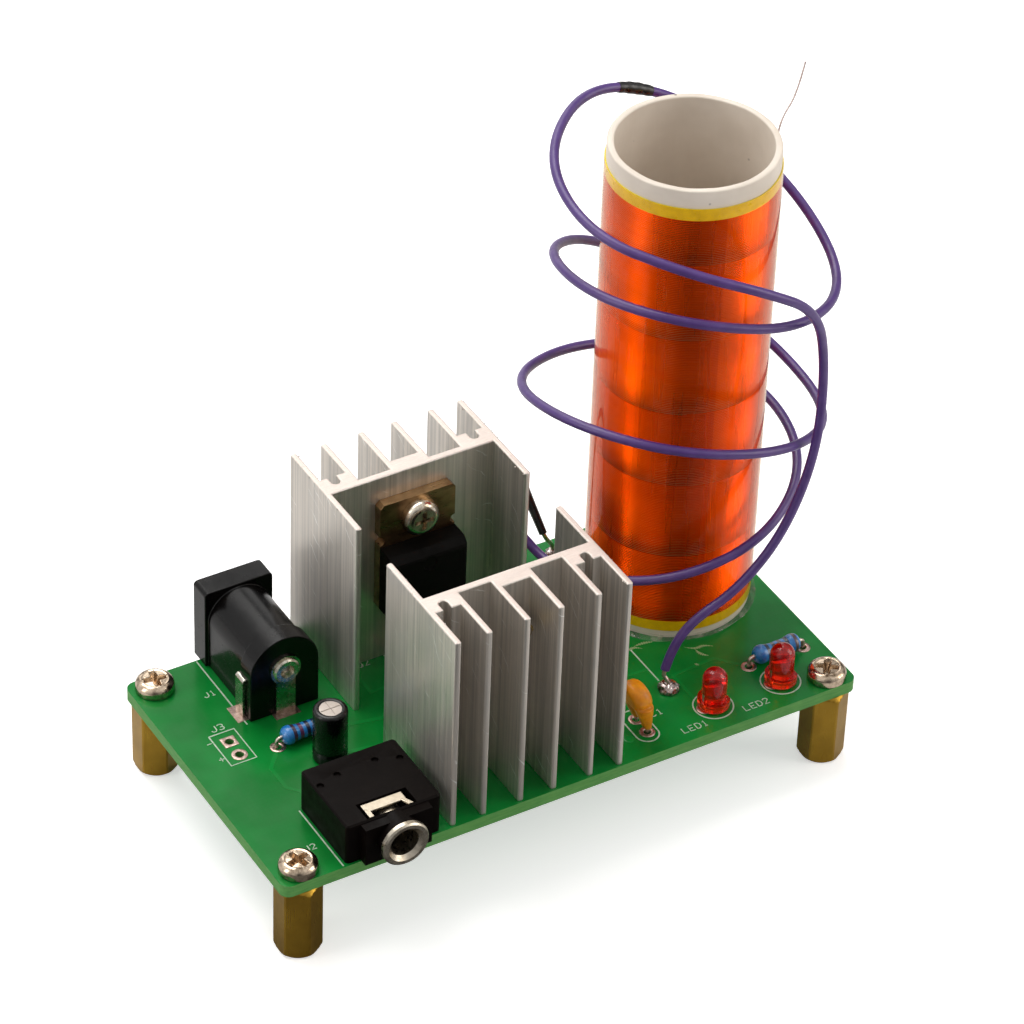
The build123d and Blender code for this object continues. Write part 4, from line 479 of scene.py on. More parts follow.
def followed(points):
    """The points that a curve through these control points passes."""
    holder = bpy.data.objects.new("route", spline("route", points))
    bpy.context.scene.collection.objects.link(holder)
    mesh = bpy.data.meshes.new_from_object(holder.evaluated_get(bpy.context.evaluated_depsgraph_get()))
    line = [v.co.copy() for v in mesh.vertices]
    bpy.data.objects.remove(holder)
    bpy.data.meshes.remove(mesh)
    return line


def stretch_of(line, start, end, count):
    """Evenly spaced points of a line between two lengths along it."""
    lengths = [0.0]
    for a, b in zip(line, line[1:]):
        lengths.append(lengths[-1] + (b - a).length)
    spots = []
    i = 0
    for step in range(count):
        want = start + (end - start) * step / (count - 1)
        while i < len(line) - 2 and lengths[i + 1] < want:
            i += 1
        share = (want - lengths[i]) / (lengths[i + 1] - lengths[i])
        spots.append(line[i].lerp(line[i + 1], share))
    return spots


# ------------------------------------------------------------------ geometry node trees

def geometry_tree(name, sizes):
    """A new geometry tree with named inputs: each a label, a socket kind and a default."""
    tree = bpy.data.node_groups.new(name, "GeometryNodeTree")
    tree.interface.new_socket("Geometry", in_out="INPUT", socket_type="NodeSocketGeometry")
    for label, kind, default in sizes:
        tree.interface.new_socket(label, in_out="INPUT", socket_type=kind).default_value = default
    tree.interface.new_socket("Geometry", in_out="OUTPUT", socket_type="NodeSocketGeometry")
    return tree, add(tree, "NodeGroupInput").outputs


def end_tree(tree, shape, material):
    """Ends a tree with real faces in one material."""
    real = add(tree, "GeometryNodeRealizeInstances", {"Geometry": shape})
    painted = add(tree, "GeometryNodeSetMaterial", {"Geometry": real.outputs[0], "Material": material})
    add(tree, "NodeGroupOutput", {"Geometry": painted.outputs[0]})
    return tree


def grown(tree, carrier, sizes):
    """The plain mesh that a tree makes from a carrier mesh; sizes are its named inputs."""
    holder = bpy.data.objects.new("holder", carrier)
    bpy.context.scene.collection.objects.link(holder)
    modifier = holder.modifiers.new("grown", "NODES")
    modifier.node_group = tree
    for item in tree.interface.items_tree:
        if item.in_out == "INPUT" and item.name in sizes:
            modifier[item.identifier] = sizes[item.name]
    made = bpy.data.meshes.new_from_object(holder.evaluated_get(bpy.context.evaluated_depsgraph_get()))
    holder.modifiers.remove(modifier)
    bpy.data.objects.remove(holder)
    return made


def wires(name, runs):
    """A carrier mesh of open or closed lines of points."""
    mesh = bpy.data.meshes.new(name)
    points = [point for run in runs for point in run]
    edges = []
    start = 0
    for run in runs:
        edges += [(start + i, start + i + 1) for i in range(len(run) - 1)]
        start += len(run)
    mesh.from_pydata(points, edges, [])
    return mesh


def ribbon_tree(material):
    """A flat ribbon along every line."""
    tree, group = geometry_tree("flat_ribbon", [
        ("Width", "NodeSocketFloat", 0.2 * MM), ("Thickness", "NodeSocketFloat", 0.02 * MM)])
    line = add(tree, "GeometryNodeMeshToCurve", {"Mesh": group["Geometry"]})
    flat = add(tree, "GeometryNodeSetCurveNormal", {"Curve": line.outputs[0]}, mode="Z_UP")
    section = add(tree, "GeometryNodeCurvePrimitiveQuadrilateral",
                  {"Width": group["Width"], "Height": group["Thickness"]})
    return end_tree(tree, swept(tree, flat.outputs[0], section.outputs[0], True), material)


def pad_tree(material):
    """A low tinned ring round every point."""
    tree, group = geometry_tree("tinned_rings", [
        ("Radius", "NodeSocketFloat", 0.7 * MM), ("Half width", "NodeSocketFloat", 0.27 * MM),
        ("Flatness", "NodeSocketFloat", 0.3)])
    ring = swept(tree, circle(tree, 28, group["Radius"]), circle(tree, 8, group["Half width"]))
    squash = add(tree, "ShaderNodeCombineXYZ", {"X": 1.0, "Y": 1.0, "Z": group["Flatness"]})
    low = add(tree, "GeometryNodeTransform", {"Geometry": ring, "Scale": squash.outputs[0]})
    many = add(tree, "GeometryNodeInstanceOnPoints", {"Points": group["Geometry"], "Instance": low.outputs[0]})
    return end_tree(tree, many.outputs[0], material)


def swept(tree, line, section, caps=False):
    """A section swept along a line."""
    return add(tree, "GeometryNodeCurveToMesh", {"Curve": line, "Profile Curve": section, "Fill Caps": caps}).outputs[0]


def spiral(tree, resolution, turns, radius, rise):
    """A spiral of even radius."""
    return add(tree, "GeometryNodeCurveSpiral", {"Resolution": resolution, "Rotations": turns, "Start Radius": radius,
                                                 "End Radius": radius, "Height": rise}).outputs[0]


def circle(tree, resolution, radius):
    """A circle of points."""
    return add(tree, "GeometryNodeCurvePrimitiveCircle", {"Resolution": resolution, "Radius": radius}).outputs[0]


def winding_tree(material):
    """Close turns of wire up a pipe, without the half that is buried in the pipe."""
    tree, group = geometry_tree("close_turns", [
        ("Pipe radius", "NodeSocketFloat", 10 * MM), ("Outer radius", "NodeSocketFloat", 10.16 * MM),
        ("Height", "NodeSocketFloat", 58 * MM), ("Pitch", "NodeSocketFloat", 0.24 * MM)])
    half = calc(tree, "MULTIPLY", group["Pitch"], 0.5)
    coil = spiral(tree, 56, calc(tree, "DIVIDE", group["Height"], group["Pitch"]),
                  calc(tree, "SUBTRACT", group["Outer radius"], half), group["Height"])
    turns = swept(tree, coil, circle(tree, 6, half))
    level = add(tree, "ShaderNodeVectorMath", {0: add(tree, "GeometryNodeInputPosition").outputs[0], 1: (1, 1, 0)},
                operation="MULTIPLY")
    reach = add(tree, "ShaderNodeVectorMath", {0: level.outputs[0]}, operation="LENGTH")
    buried = add(tree, "FunctionNodeCompare", {0: reach.outputs["Value"], 1: group["Pipe radius"]},
                 data_type="FLOAT", operation="LESS_THAN")
    seen = add(tree, "GeometryNodeDeleteGeometry", {"Geometry": turns, "Selection": buried.outputs[0]},
               domain="FACE")
    smooth = add(tree, "GeometryNodeSetShadeSmooth", {"Geometry": seen.outputs[0], "Shade Smooth": True})
    return end_tree(tree, smooth.outputs[0], material)


def thread_tree(material):
    """The ridge of a screw thread."""
    tree, group = geometry_tree("screw_thread", [
        ("Radius", "NodeSocketFloat", 1.1 * MM), ("Length", "NodeSocketFloat", 1.6 * MM),
        ("Pitch", "NodeSocketFloat", 0.4 * MM)])
    coil = spiral(tree, 32, calc(tree, "DIVIDE", group["Length"], group["Pitch"]), group["Radius"], group["Length"])
    section = circle(tree, 4, calc(tree, "MULTIPLY", group["Pitch"], 0.45))
    return end_tree(tree, swept(tree, coil, section, True), material)


def burr_tree(material, seed):
    """Small sharp flakes along every line, with a fixed seed."""
    tree, group = geometry_tree("sawn_burrs", [
        ("Count", "NodeSocketInt", 60), ("Size", "NodeSocketFloat", 0.2 * MM)])
    line = add(tree, "GeometryNodeMeshToCurve", {"Mesh": group["Geometry"]})
    spots = add(tree, "GeometryNodeCurveToPoints", {"Curve": line.outputs[0], "Count": group["Count"]}, mode="COUNT")
    shift = add(tree, "FunctionNodeRandomValue", {0: (-0.0006, -0.0003, -0.00012), 1: (0.0006, 0.0003, 0.00003),
                                                  "Seed": seed}, data_type="FLOAT_VECTOR")
    moved = add(tree, "GeometryNodeSetPosition", {"Geometry": spots.outputs[0], "Offset": shift.outputs[0]})
    flake = add(tree, "GeometryNodeMeshIcoSphere", {"Radius": group["Size"], "Subdivisions": 1})
    turn = add(tree, "FunctionNodeRandomValue", {0: (0, 0, 0), 1: (tau, tau, tau), "Seed": seed + 1},
               data_type="FLOAT_VECTOR")
    size = add(tree, "FunctionNodeRandomValue", {0: (0.3, 0.2, 0.1), 1: (1.0, 0.6, 0.4), "Seed": seed + 2},
               data_type="FLOAT_VECTOR")
    many = add(tree, "GeometryNodeInstanceOnPoints", {"Points": moved.outputs[0], "Instance": flake.outputs[0],
                                                      "Rotation": turn.outputs[0], "Scale": size.outputs[0]})
    return end_tree(tree, many.outputs[0], material)


# ------------------------------------------------------------------ finishes

def solder_mask(name="green_solder_mask", lighter=0.0):
    """Glossy green lacquer over copper and glass laminate; the cut edge and the holes show the laminate."""
    colour = bpy.context.scene.kit_colours.mask
    made, tree, shader = finish(name, {"IOR": 1.5, "Specular IOR Level": 0.22,
                                       "Coat Weight": 0.05, "Coat Roughness": 0.05})
    patches = cloud(tree, 9.0, 2.0)
    weave = calc(tree, "MULTIPLY", weave_of(tree, 2.2, "X"), weave_of(tree, 2.2, "Y"))
    light, dark = shade(colour, (3.0, 1.5, 2.0)), shade(colour, (0.62, 0.62, 0.62))
    green = tint(tree, spread(tree, patches, 0.35, 0.7, lighter * 0.6, 0.35 + lighter), dark, light)
    green = tint(tree, spread(tree, weave, 0.0, 1.0, 0.0, 0.03), green, light)
    # the laminate's yellow-green glass and resin on the sawn edge
    laminate = tint(tree, cloud(tree, 0.5, 3.0, (0.25, 0.25, 2.0)), srgb("37793B"), srgb("679F52"))
    side = spread(tree, calc(tree, "ABSOLUTE", facing(tree, "Z")), 0.4, 0.6, 1.0, 0.0)
    put(shader, {"Base Color": tint(tree, side, green, laminate),
                 "Roughness": calc(tree, "ADD", uneven(tree, 0.16, 0.24, 3.0), calc(tree, "MULTIPLY", side, 0.4)),
                 "Normal": bumps(tree, 0.02, 0.6, 1.6, 2.0)})
    return made


def white_print():
    """Epoxy ink screened on the mask, thin enough that the green shows through its worn places."""
    made, tree, shader = finish("white_print", {"IOR": 1.5})
    put(shader, {"Base Color": mottled(tree, "B9C8B5", "84A88C", 0.5, 0.75, 0.35),
                 "Roughness": uneven(tree, 0.42, 0.6, 0.4)})
    return made


def tin(name, bright="B9AEA8", dull="8C7C76", rough=0.28, lumps=0.5):
    """Tin and solder, painted a little pink as a reflection of the warm studio, with dull flux-stained patches."""
    made, tree, shader = finish(name, {}, metal=True)
    # the bright colour holds a painted pink reflection of the warm studio
    put(shader, {"Base Color": mottled(tree, bright, dull, 0.35, 0.7, lumps),
                 "Roughness": uneven(tree, rough * 0.7, rough * 1.6, lumps * 0.6),
                 "Normal": bumps(tree, 0.03, 0.7, lumps * 0.5, 2.0)})
    return made


def plated_steel(name="nickel_plated_steel", bright="D8D0C6", dull="A39A8E", rough=0.2):
    """Barrel-plated nickel on pressed steel: bright, with faint waves from the forming and brownish thin spots."""
    made, tree, shader = finish(name, {}, metal=True)
    put(shader, {"Base Color": mottled(tree, bright, dull, 0.45, 0.75, 0.8, 4.0),
                 "Roughness": uneven(tree, rough * 0.7, rough * 1.5, 0.5),
                 "Normal": bumps(tree, 0.02, 0.8, 0.7, 2.0)})
    return made


def turned_brass():
    """Brass turned from hexagonal bar, gone brown in the hand: faint lathe lines on the ends, drawn flats."""
    colour = bpy.context.scene.kit_colours.brass
    dark = shade(colour, (0.42, 0.38, 0.28))
    made, tree, shader = finish("brass_standoff", {}, metal=True)
    shader.inputs["Metallic"].default_value = 0.8         # below 1, matched to the photograph
    stain = spread(tree, cloud(tree, 3.5, 3.0), 0.25, 0.85, 0.15, 0.75)
    drawn = cloud(tree, 0.12, 2.0, (1, 1, 0.04))
    put(shader, {"Base Color": tint(tree, stain, colour, dark),
                 "Roughness": calc(tree, "ADD", spread(tree, drawn, 0.3, 0.7, 0.22, 0.34),
                                   calc(tree, "MULTIPLY", stain, 0.12)),
                 "Normal": relief(tree, drawn, 0.008, 0.8)})
    return made


def extruded_aluminium():
    """Extruded aluminium: fine upright die lines, handling scratches, and a rough sawn face on each end."""
    made, tree, shader = finish("extruded_aluminium", {}, metal=True)
    shader.inputs["Metallic"].default_value = 0.82        # below 1, matched to the photograph
    die = cloud(tree, 0.22, 4.0, (1, 1, 0.012), 0.65)
    broad = cloud(tree, 1.5, 2.0, (1, 1, 0.03))
    smear = cloud(tree, 6.0, 3.0)
    scratch = spread(tree, add(tree, "ShaderNodeTexWave", {
        "Vector": add(tree, "ShaderNodeMapping", {"Vector": across(tree), "Rotation": (0.4, 0.7, 0.9)}).outputs[0],
        "Scale": 1 / (5.5 * MM), "Distortion": 9.0, "Detail": 4.0, "Detail Scale": 0.6}).outputs["Fac"], 0.985, 1.0)
    rare = calc(tree, "MULTIPLY", scratch, spread(tree, cloud(tree, 4.0), 0.55, 0.65))
    sawn = spread(tree, calc(tree, "ABSOLUTE", facing(tree, "Z")), 0.6, 0.8)
    cut = cloud(tree, 0.14, 3.0, (0.15, 1, 1))
    body = tint(tree, spread(tree, broad, 0.3, 0.7), srgb("DAD2C8"), srgb("E8E0D6"))
    body = tint(tree, spread(tree, cloud(tree, 0.45, 3.0, (1, 1, 0.012)), 0.35, 0.65, 0.55, 0.0), body, srgb("9C9A97"))
    body = tint(tree, spread(tree, smear, 0.5, 0.8, 0.0, 0.45), body, srgb("BCBBB8"))
    body = tint(tree, rare, body, srgb("F4F2EE"))
    ends = tint(tree, cut, srgb("C6BAB2"), srgb("E0D6CE"))
    put(shader, {"Base Color": tint(tree, sawn, body, ends),
                 "Roughness": calc(tree, "ADD", spread(tree, die, 0.3, 0.7, 0.3, 0.46),
                                   calc(tree, "MULTIPLY", sawn, 0.22)),
                 "Normal": relief(tree, cut, 0.03, 0.5, relief(tree, die, 0.012, 0.9))})
    return made


def moulded(name, base="121110", grain=0.18, rough=0.3, depth=0.004, shine=0.0):
    """Black moulded plastic: fine spark-eroded grain, flow streaks and finger dust."""
    made, tree, shader = finish(name, {"IOR": 1.45, "Specular IOR Level": 0.06 + 1.5 * shine,
                                       "Coat Weight": shine, "Coat Roughness": 0.12})
    dust = spread(tree, cloud(tree, 2.2, 5.0), 0.5, 0.8, 0.0, 0.1)
    put(shader, {"Base Color": tint(tree, dust, srgb(base), srgb("2A221E")),
                 "Roughness": uneven(tree, rough * 0.8, rough * 1.3, 1.4, 4.0),
                 "Normal": bumps(tree, depth, 0.8, grain, 2.0)})
    return made


def transistor_epoxy():
    """Epoxy moulding compound of a transistor: matt, grainy, nearly black."""
    return moulded("moulded_epoxy", "0C0B0A", 0.1, 0.55, 0.008)


def tab_with_painted_reflection():
    """Tinned copper frame of a transistor, its brown a painted reflection of the dark surroundings, and reflecting its
    sink.
    """
    made, tree, shader = finish("tab_painted_brown_reflection", {}, metal=True)
    # both browns mixed here are a painted reflection of the dark surroundings, in patches
    stain = spread(tree, cloud(tree, 1.6, 4.0, (0.5, 1, 1)), 0.35, 0.7)
    put(shader, {"Base Color": tint(tree, stain, srgb("A2835E"), srgb("6C5036")),
                 "Roughness": uneven(tree, 0.24, 0.42, 0.3, 3.0, (0.1, 1, 1)),
                 "Normal": bumps(tree, 0.01, 0.8, 0.25, 2.0, (0.1, 1, 1))})
    return made


def white_pipe():
    """Extruded white plastic pipe: faint lengthwise lines, black specks and a matt sawn rim."""
    made, tree, shader = finish("white_pipe", {"IOR": 1.54})
    speck = spread(tree, cells(tree, 2.6), 0.05, 0.085, 1.0, 0.0)
    rare = calc(tree, "MULTIPLY", speck, spread(tree, cloud(tree, 3.0), 0.5, 0.6))
    body = mottled(tree, "E4D9CC", "D6CABC", 0.35, 0.7, 7.0)
    put(shader, {"Base Color": tint(tree, calc(tree, "MULTIPLY", rare, 0.75), body, srgb("4A4238")),
                 "Roughness": uneven(tree, 0.36, 0.5, 0.6),
                 "Normal": bumps(tree, 0.02, 0.6, 0.5, 3.0, (1, 1, 0.05))})
    return made


def enamelled_copper():
    """Magnet wire: copper through amber enamel; the lower half of the coil is a shade darker and redder."""
    colour = bpy.context.scene.kit_colours.enamel
    made, tree, shader = finish("enamelled_copper_winding", {}, metal=True)
    low = spread(tree, height(tree), BOARD_TOP + 33 * MM, BOARD_TOP + 34.2 * MM, 0.35, 0.0)
    lines = spread(tree, cloud(tree, 0.5, 3.0, (0.02, 0.02, 1)), 0.35, 0.7, 0.0, 0.2)
    # the film's end shows as an upright line, with the wire a shade darker on its left
    turn = calc(tree, "ARCTAN2", calc(tree, "SUBTRACT", height(tree, "Y"), PIPE_AXIS.y),
                calc(tree, "SUBTRACT", height(tree, "X"), PIPE_AXIS.x))
    past = calc(tree, "SUBTRACT", radians(-99), turn)
    lap = calc(tree, "MULTIPLY", spread(tree, past, 0.0, 0.004), spread(tree, past, 0.03, 0.9, 0.45, 0.0))
    lines = calc(tree, "ADD", lines, lap)
    dark = shade(colour, (0.7, 0.45, 0.35))
    put(shader, {"Base Color": tint(tree, calc(tree, "ADD", low, lines), colour, dark),
                 "Roughness": uneven(tree, 0.22, 0.34, 1.6, 2.0, (1, 1, 0.06))})
    return made


def clear_wrap():
    """Thin, nearly clear film over the coil: it warms what is under it a little and mirrors at its edges."""
    made, tree = bare("clear_film")
    bend = bumps(tree, 0.05, 0.5, 5.0, 2.0, (1, 1, 0.25))
    clear = add(tree, "ShaderNodeBsdfTransparent", {"Color": srgb("FFF6E8")})
    mirror = add(tree, "ShaderNodeBsdfGlossy", {"Color": (1, 1, 1, 1), "Roughness": 0.05, "Normal": bend})
    edge = add(tree, "ShaderNodeLayerWeight", {"Blend": 0.5, "Normal": bend}).outputs["Facing"]
    share = spread(tree, calc(tree, "POWER", edge, 5.5), 0.0, 1.0, 0.006, 0.7)
    both = add(tree, "ShaderNodeMixShader", {0: share, 1: clear.outputs[0], 2: mirror.outputs[0]})
    add(tree, "ShaderNodeOutputMaterial", {"Surface": both.outputs[0]})
    return made


def yellow_tape():
    """Thin yellow polyester tape, glossy, with the coil's edge pressed into it."""
    made, tree, shader = finish("yellow_tape", {"IOR": 1.57, "Coat Weight": 0.4, "Coat Roughness": 0.08})
    put(shader, {"Base Color": mottled(tree, "F0DC00", "DEC600", 0.35, 0.7, 1.2),
                 "Roughness": uneven(tree, 0.25, 0.4, 0.8),
                 "Normal": bumps(tree, 0.02, 0.6, 0.8, 2.0, (1, 1, 0.4))})
    return made


def clear_glue():
    """Set clear glue at the pipe's foot, cloudy where it was worked."""
    made, tree, shader = finish("clear_glue", {"IOR": 1.5, "Roughness": 0.12})
    cloudy = spread(tree, cloud(tree, 1.4, 4.0), 0.5, 0.72, 0.1, 0.4)
    put(shader, {"Base Color": tint(tree, cloudy, srgb("CFE0C8"), srgb("D8CFA6")), "Alpha": cloudy,
                 "Normal": bumps(tree, 0.06, 0.8, 0.9, 2.0)})
    return made


def insulation():
    """Violet PVC over stranded wire: satin, faint extrusion lines and dusty scuffs."""
    colour = bpy.context.scene.kit_colours.insulation
    pale = shade(colour, (1.5, 1.5, 1.5), 0.03)
    made, tree, shader = finish("violet_insulation", {"IOR": 1.53, "Coat Weight": 0.15, "Coat Roughness": 0.3})
    put(shader, {"Base Color": tint(tree, spread(tree, cloud(tree, 2.0, 4.0), 0.4, 0.8, 0.0, 0.5), colour, pale),
                 "Roughness": uneven(tree, 0.34, 0.48, 0.8),
                 "Normal": bumps(tree, 0.006, 0.8, 0.3, 2.0)})
    return made


def shrink_film(name, base="0B0A0A", rough=0.3):
    """Black heat-shrunk sleeve: semi-gloss with faint shrink ripples."""
    made, tree, shader = finish(name, {"IOR": 1.5})
    put(shader, {"Base Color": mottled(tree, base, "2A2624", 0.4, 0.8, 1.1),
                 "Roughness": uneven(tree, rough * 0.75, rough * 1.3, 0.7),
                 "Normal": bumps(tree, 0.015, 0.7, 0.6, 2.0)})
    return made


def resistor_lacquer(name, middle, rings):
    """Blue lacquer of a metal film resistor with five printed rings along its length from the middle."""
    made, tree, shader = finish(name, {"IOR": 1.5, "Coat Weight": 0.5, "Coat Roughness": 0.1})
    place = calc(tree, "SUBTRACT", height(tree, "X"), middle)
    colour = mottled(tree, "1768AE", "2F86CE", 0.35, 0.7, 0.7)
    for spot, code in rings:
        apart = calc(tree, "ABSOLUTE", calc(tree, "SUBTRACT", place, spot * MM))
        colour = tint(tree, spread(tree, apart, 0.2 * MM, 0.27 * MM, 0.92, 0.0), colour, srgb(code))
    put(shader, {"Base Color": colour, "Roughness": uneven(tree, 0.24, 0.36, 0.5),
                 "Normal": bumps(tree, 0.015, 0.6, 0.6, 2.0)})
    return made


def lamp_resin():
    """Red tinted epoxy; the orange near the board, where the resin is thin, is painted light coming back out of it."""
    colour = bpy.context.scene.kit_colours.lens
    made, tree, shader = finish("red_lens", {"IOR": 1.5, "Roughness": 0.07, "Transmission Weight": 0.8,
                                             "Specular IOR Level": 0.2})
    # painted light: orange towards the lens's foot, for the light that collects in its thin flange
    low = spread(tree, height(tree), BOARD_TOP + 0.3 * MM, BOARD_TOP + 1.6 * MM, 1.0, 0.0)
    warm = tint(tree, low, colour, srgb("FF5A20"))
    put(shader, {"Base Color": tint(tree, spread(tree, cloud(tree, 1.0), 0.4, 0.8, 0.0, 0.2), warm, srgb("FF2A10"))})
    return made


def dipped_epoxy():
    """Mustard epoxy dip: smooth and mottled, with a few pinholes."""
    made, tree, shader = finish("dipped_capacitor_coat", {
        "IOR": 1.5, "Specular IOR Level": 0.3, "Coat Weight": 0.08, "Coat Roughness": 0.15,
        "Subsurface Weight": 0.15, "Subsurface Scale": 0.4 * MM})
    pinhole = spread(tree, cells(tree, 0.9), 0.03, 0.09)
    put(shader, {"Base Color": mottled(tree, "D98A08", "B86C05", 0.35, 0.7, 1.3),
                 "Roughness": uneven(tree, 0.3, 0.42, 0.6),
                 "Normal": relief(tree, pinhole, 0.02, 0.5, bumps(tree, 0.03, 0.6, 0.9, 2.0))})
    return made


def capacitor_sleeve():
    """Black printed sleeve of an electrolytic capacitor with a pale polarity stripe on its left side."""
    made, tree, shader = finish("capacitor_sleeve", {"IOR": 1.5, "Specular IOR Level": 0.3,
                                                     "Coat Weight": 0.12, "Coat Roughness": 0.12})
    side = spread(tree, lean_to(tree, add(tree, "ShaderNodeTexCoord").outputs["Normal"], (-0.6, 0.8, 0.0)), 0.86, 0.89)
    place = calc(tree, "FRACT", calc(tree, "DIVIDE", height(tree), 2.4 * MM))
    dash = calc(tree, "MULTIPLY", spread(tree, place, 0.3, 0.32), spread(tree, place, 0.68, 0.7, 1.0, 0.0))
    wall = spread(tree, calc(tree, "ABSOLUTE", facing(tree, "Z")), 0.2, 0.3, 1.0, 0.0)
    stripe = calc(tree, "MULTIPLY", calc(tree, "MULTIPLY", side, wall),
                  calc(tree, "SUBTRACT", 1.0, calc(tree, "MULTIPLY", dash, 0.85)))
    put(shader, {"Base Color": tint(tree, calc(tree, "MULTIPLY", stripe, 0.55), srgb("040404"), srgb("A9A7A2")),
                 "Roughness": uneven(tree, 0.2, 0.34, 0.8),
                 "Normal": bumps(tree, 0.012, 0.6, 0.8, 2.0)})
    return made


# ------------------------------------------------------------------ operators

class KIT_OT_stage(bpy.types.Operator):
    """The camera at the photograph's angle, a pale floor and soft studio lamps"""
    bl_idname = "kit.stage"
    bl_label = "Stage"

    def execute(self, context):
        scene = context.scene
        scene.view_settings.view_transform = "Standard"
        turn, tilt, roll = CAMERA_TURN, CAMERA_TILT, CAMERA_ROLL
        ahead = Vector((sin(turn) * cos(tilt), cos(turn) * cos(tilt), -sin(tilt)))
        right = Vector((cos(turn), -sin(turn), 0.0))
        up = right.cross(ahead)
        right, up = cos(roll) * right + sin(roll) * up, cos(roll) * up - sin(roll) * right
        camera = bpy.data.objects.new("camera", bpy.data.cameras.new("camera"))
        scene.collection.objects.link(camera)
        camera.matrix_world = Matrix.Translation(at(*CAMERA_PLACE)) @ Matrix((right, up, -ahead)).transposed().to_4x4()
        camera.data.sensor_width = SENSOR
        camera.data.lens = FOCAL_PIXELS * SENSOR / PHOTO_PIXELS
        camera.data.clip_start, camera.data.clip_end = 0.02, 20.0
        scene.camera = camera

        level = scene.kit_sizes.light
        middle = Vector((0.0, 0.0, 0.03))
        for name, place, wide, down, power, warm in (
                ("overhead_box", (-0.05, 0.32, 0.72), 0.6, 0.5, 4.4, (1.0, 0.985, 0.96)),
                ("left_box", (-0.64, 0.05, 0.28), 0.2, 0.5, 1.0, (1.0, 0.98, 0.95)),
                ("right_box", (0.56, -0.36, 0.34), 0.4, 0.5, 1.9, (1.0, 0.95, 0.88)),
                ("back_box", (0.16, 0.62, 0.3), 0.6, 0.35, 0.9, (1.0, 0.99, 0.97))):
            lamp = bpy.data.lights.new(name, "AREA")
            lamp.shape = "RECTANGLE"
            lamp.size, lamp.size_y, lamp.energy, lamp.color = wide, down, power * level, warm
            holder = bpy.data.objects.new(name, lamp)
            scene.collection.objects.link(holder)
            holder.location = place
            holder.rotation_mode = "QUATERNION"
            holder.rotation_quaternion = (middle - Vector(place)).to_track_quat("-Z", "Y")

        world = bpy.data.worlds.new("studio")
        scene.world = world
        world.use_nodes = True
        tree = world.node_tree
        tree.nodes.clear()
        way = add(tree, "ShaderNodeTexCoord").outputs["Generated"]
        parts = add(tree, "ShaderNodeSeparateXYZ", {"Vector": way})
        # what the pieces mirror: a white room to the left and overhead, and a dim one on the camera's side
        x, y, z = (parts.outputs[axis] for axis in "XYZ")
        left = spread(tree, calc(tree, "SUBTRACT", calc(tree, "MULTIPLY", y, 0.35), x), 0.15, 0.85, 0.0, 0.75)
        right = spread(tree, calc(tree, "SUBTRACT", calc(tree, "MULTIPLY", x, 0.8), calc(tree, "MULTIPLY", y, 0.6)),
                       0.35, 0.9, 0.0, 0.6)
        high = spread(tree, z, 0.3, 0.9, 0.1, 0.9)
        levels = (calc(tree, "ADD", calc(tree, "ADD", left, right), high), spread(tree, z, -0.2, 1.0, 0.12, 0.6), 1.0)
        room, dim, white = (add(tree, "ShaderNodeBackground", {"Color": (1, 1, 1, 1), "Strength": strength})
                            for strength in levels)
        ray = add(tree, "ShaderNodeLightPath").outputs
        glossy = add(tree, "ShaderNodeMixShader", {0: ray["Is Glossy Ray"], 1: dim.outputs[0], 2: room.outputs[0]})
        seen = calc(tree, "MAXIMUM", ray["Is Camera Ray"], ray["Is Transmission Ray"])
        both = add(tree, "ShaderNodeMixShader", {0: seen, 1: glossy.outputs[0], 2: white.outputs[0]})
        add(tree, "ShaderNodeOutputWorld", {"Surface": both.outputs[0]})

        shape = bmesh.new()
        bmesh.ops.create_circle(shape, cap_ends=True, segments=96, radius=3.0)
        floor = bpy.data.objects.new("floor", settled(shape, "floor"))
        floor.data.materials.append(self.paper())
        scene.collection.objects.link(floor)
        return {"FINISHED"}

    @staticmethod
    def paper():
        """White background paper, lifted to white for the camera but for the object's shadow."""
        made, tree = bare("background_paper")
        grain = tint(tree, cloud(tree, 60.0), (0.82, 0.82, 0.82, 1), (0.86, 0.86, 0.86, 1))
        ray = add(tree, "ShaderNodeLightPath").outputs
        # the pieces mirror the photographer's dark side of the room in the paper's front
        way = add(tree, "ShaderNodeVectorMath", {0: across(tree)}, operation="NORMALIZE").outputs["Vector"]
        share = calc(tree, "MULTIPLY", ray["Is Glossy Ray"],
                     spread(tree, lean_to(tree, way, (-0.524, -0.852, 0.0)), 0.45, 0.9, 0.15, 0.85))
        matt = add(tree, "ShaderNodeBsdfDiffuse", {"Color": tint(tree, share, grain, (0.0, 0.0, 0.0, 1.0))})
        lift = add(tree, "ShaderNodeEmission", {"Strength": calc(tree, "MULTIPLY", ray["Is Camera Ray"], 0.5)})
        both = add(tree, "ShaderNodeAddShader", {0: matt.outputs[0], 1: lift.outputs[0]})
        add(tree, "ShaderNodeOutputMaterial", {"Surface": both.outputs[0]})
        return made


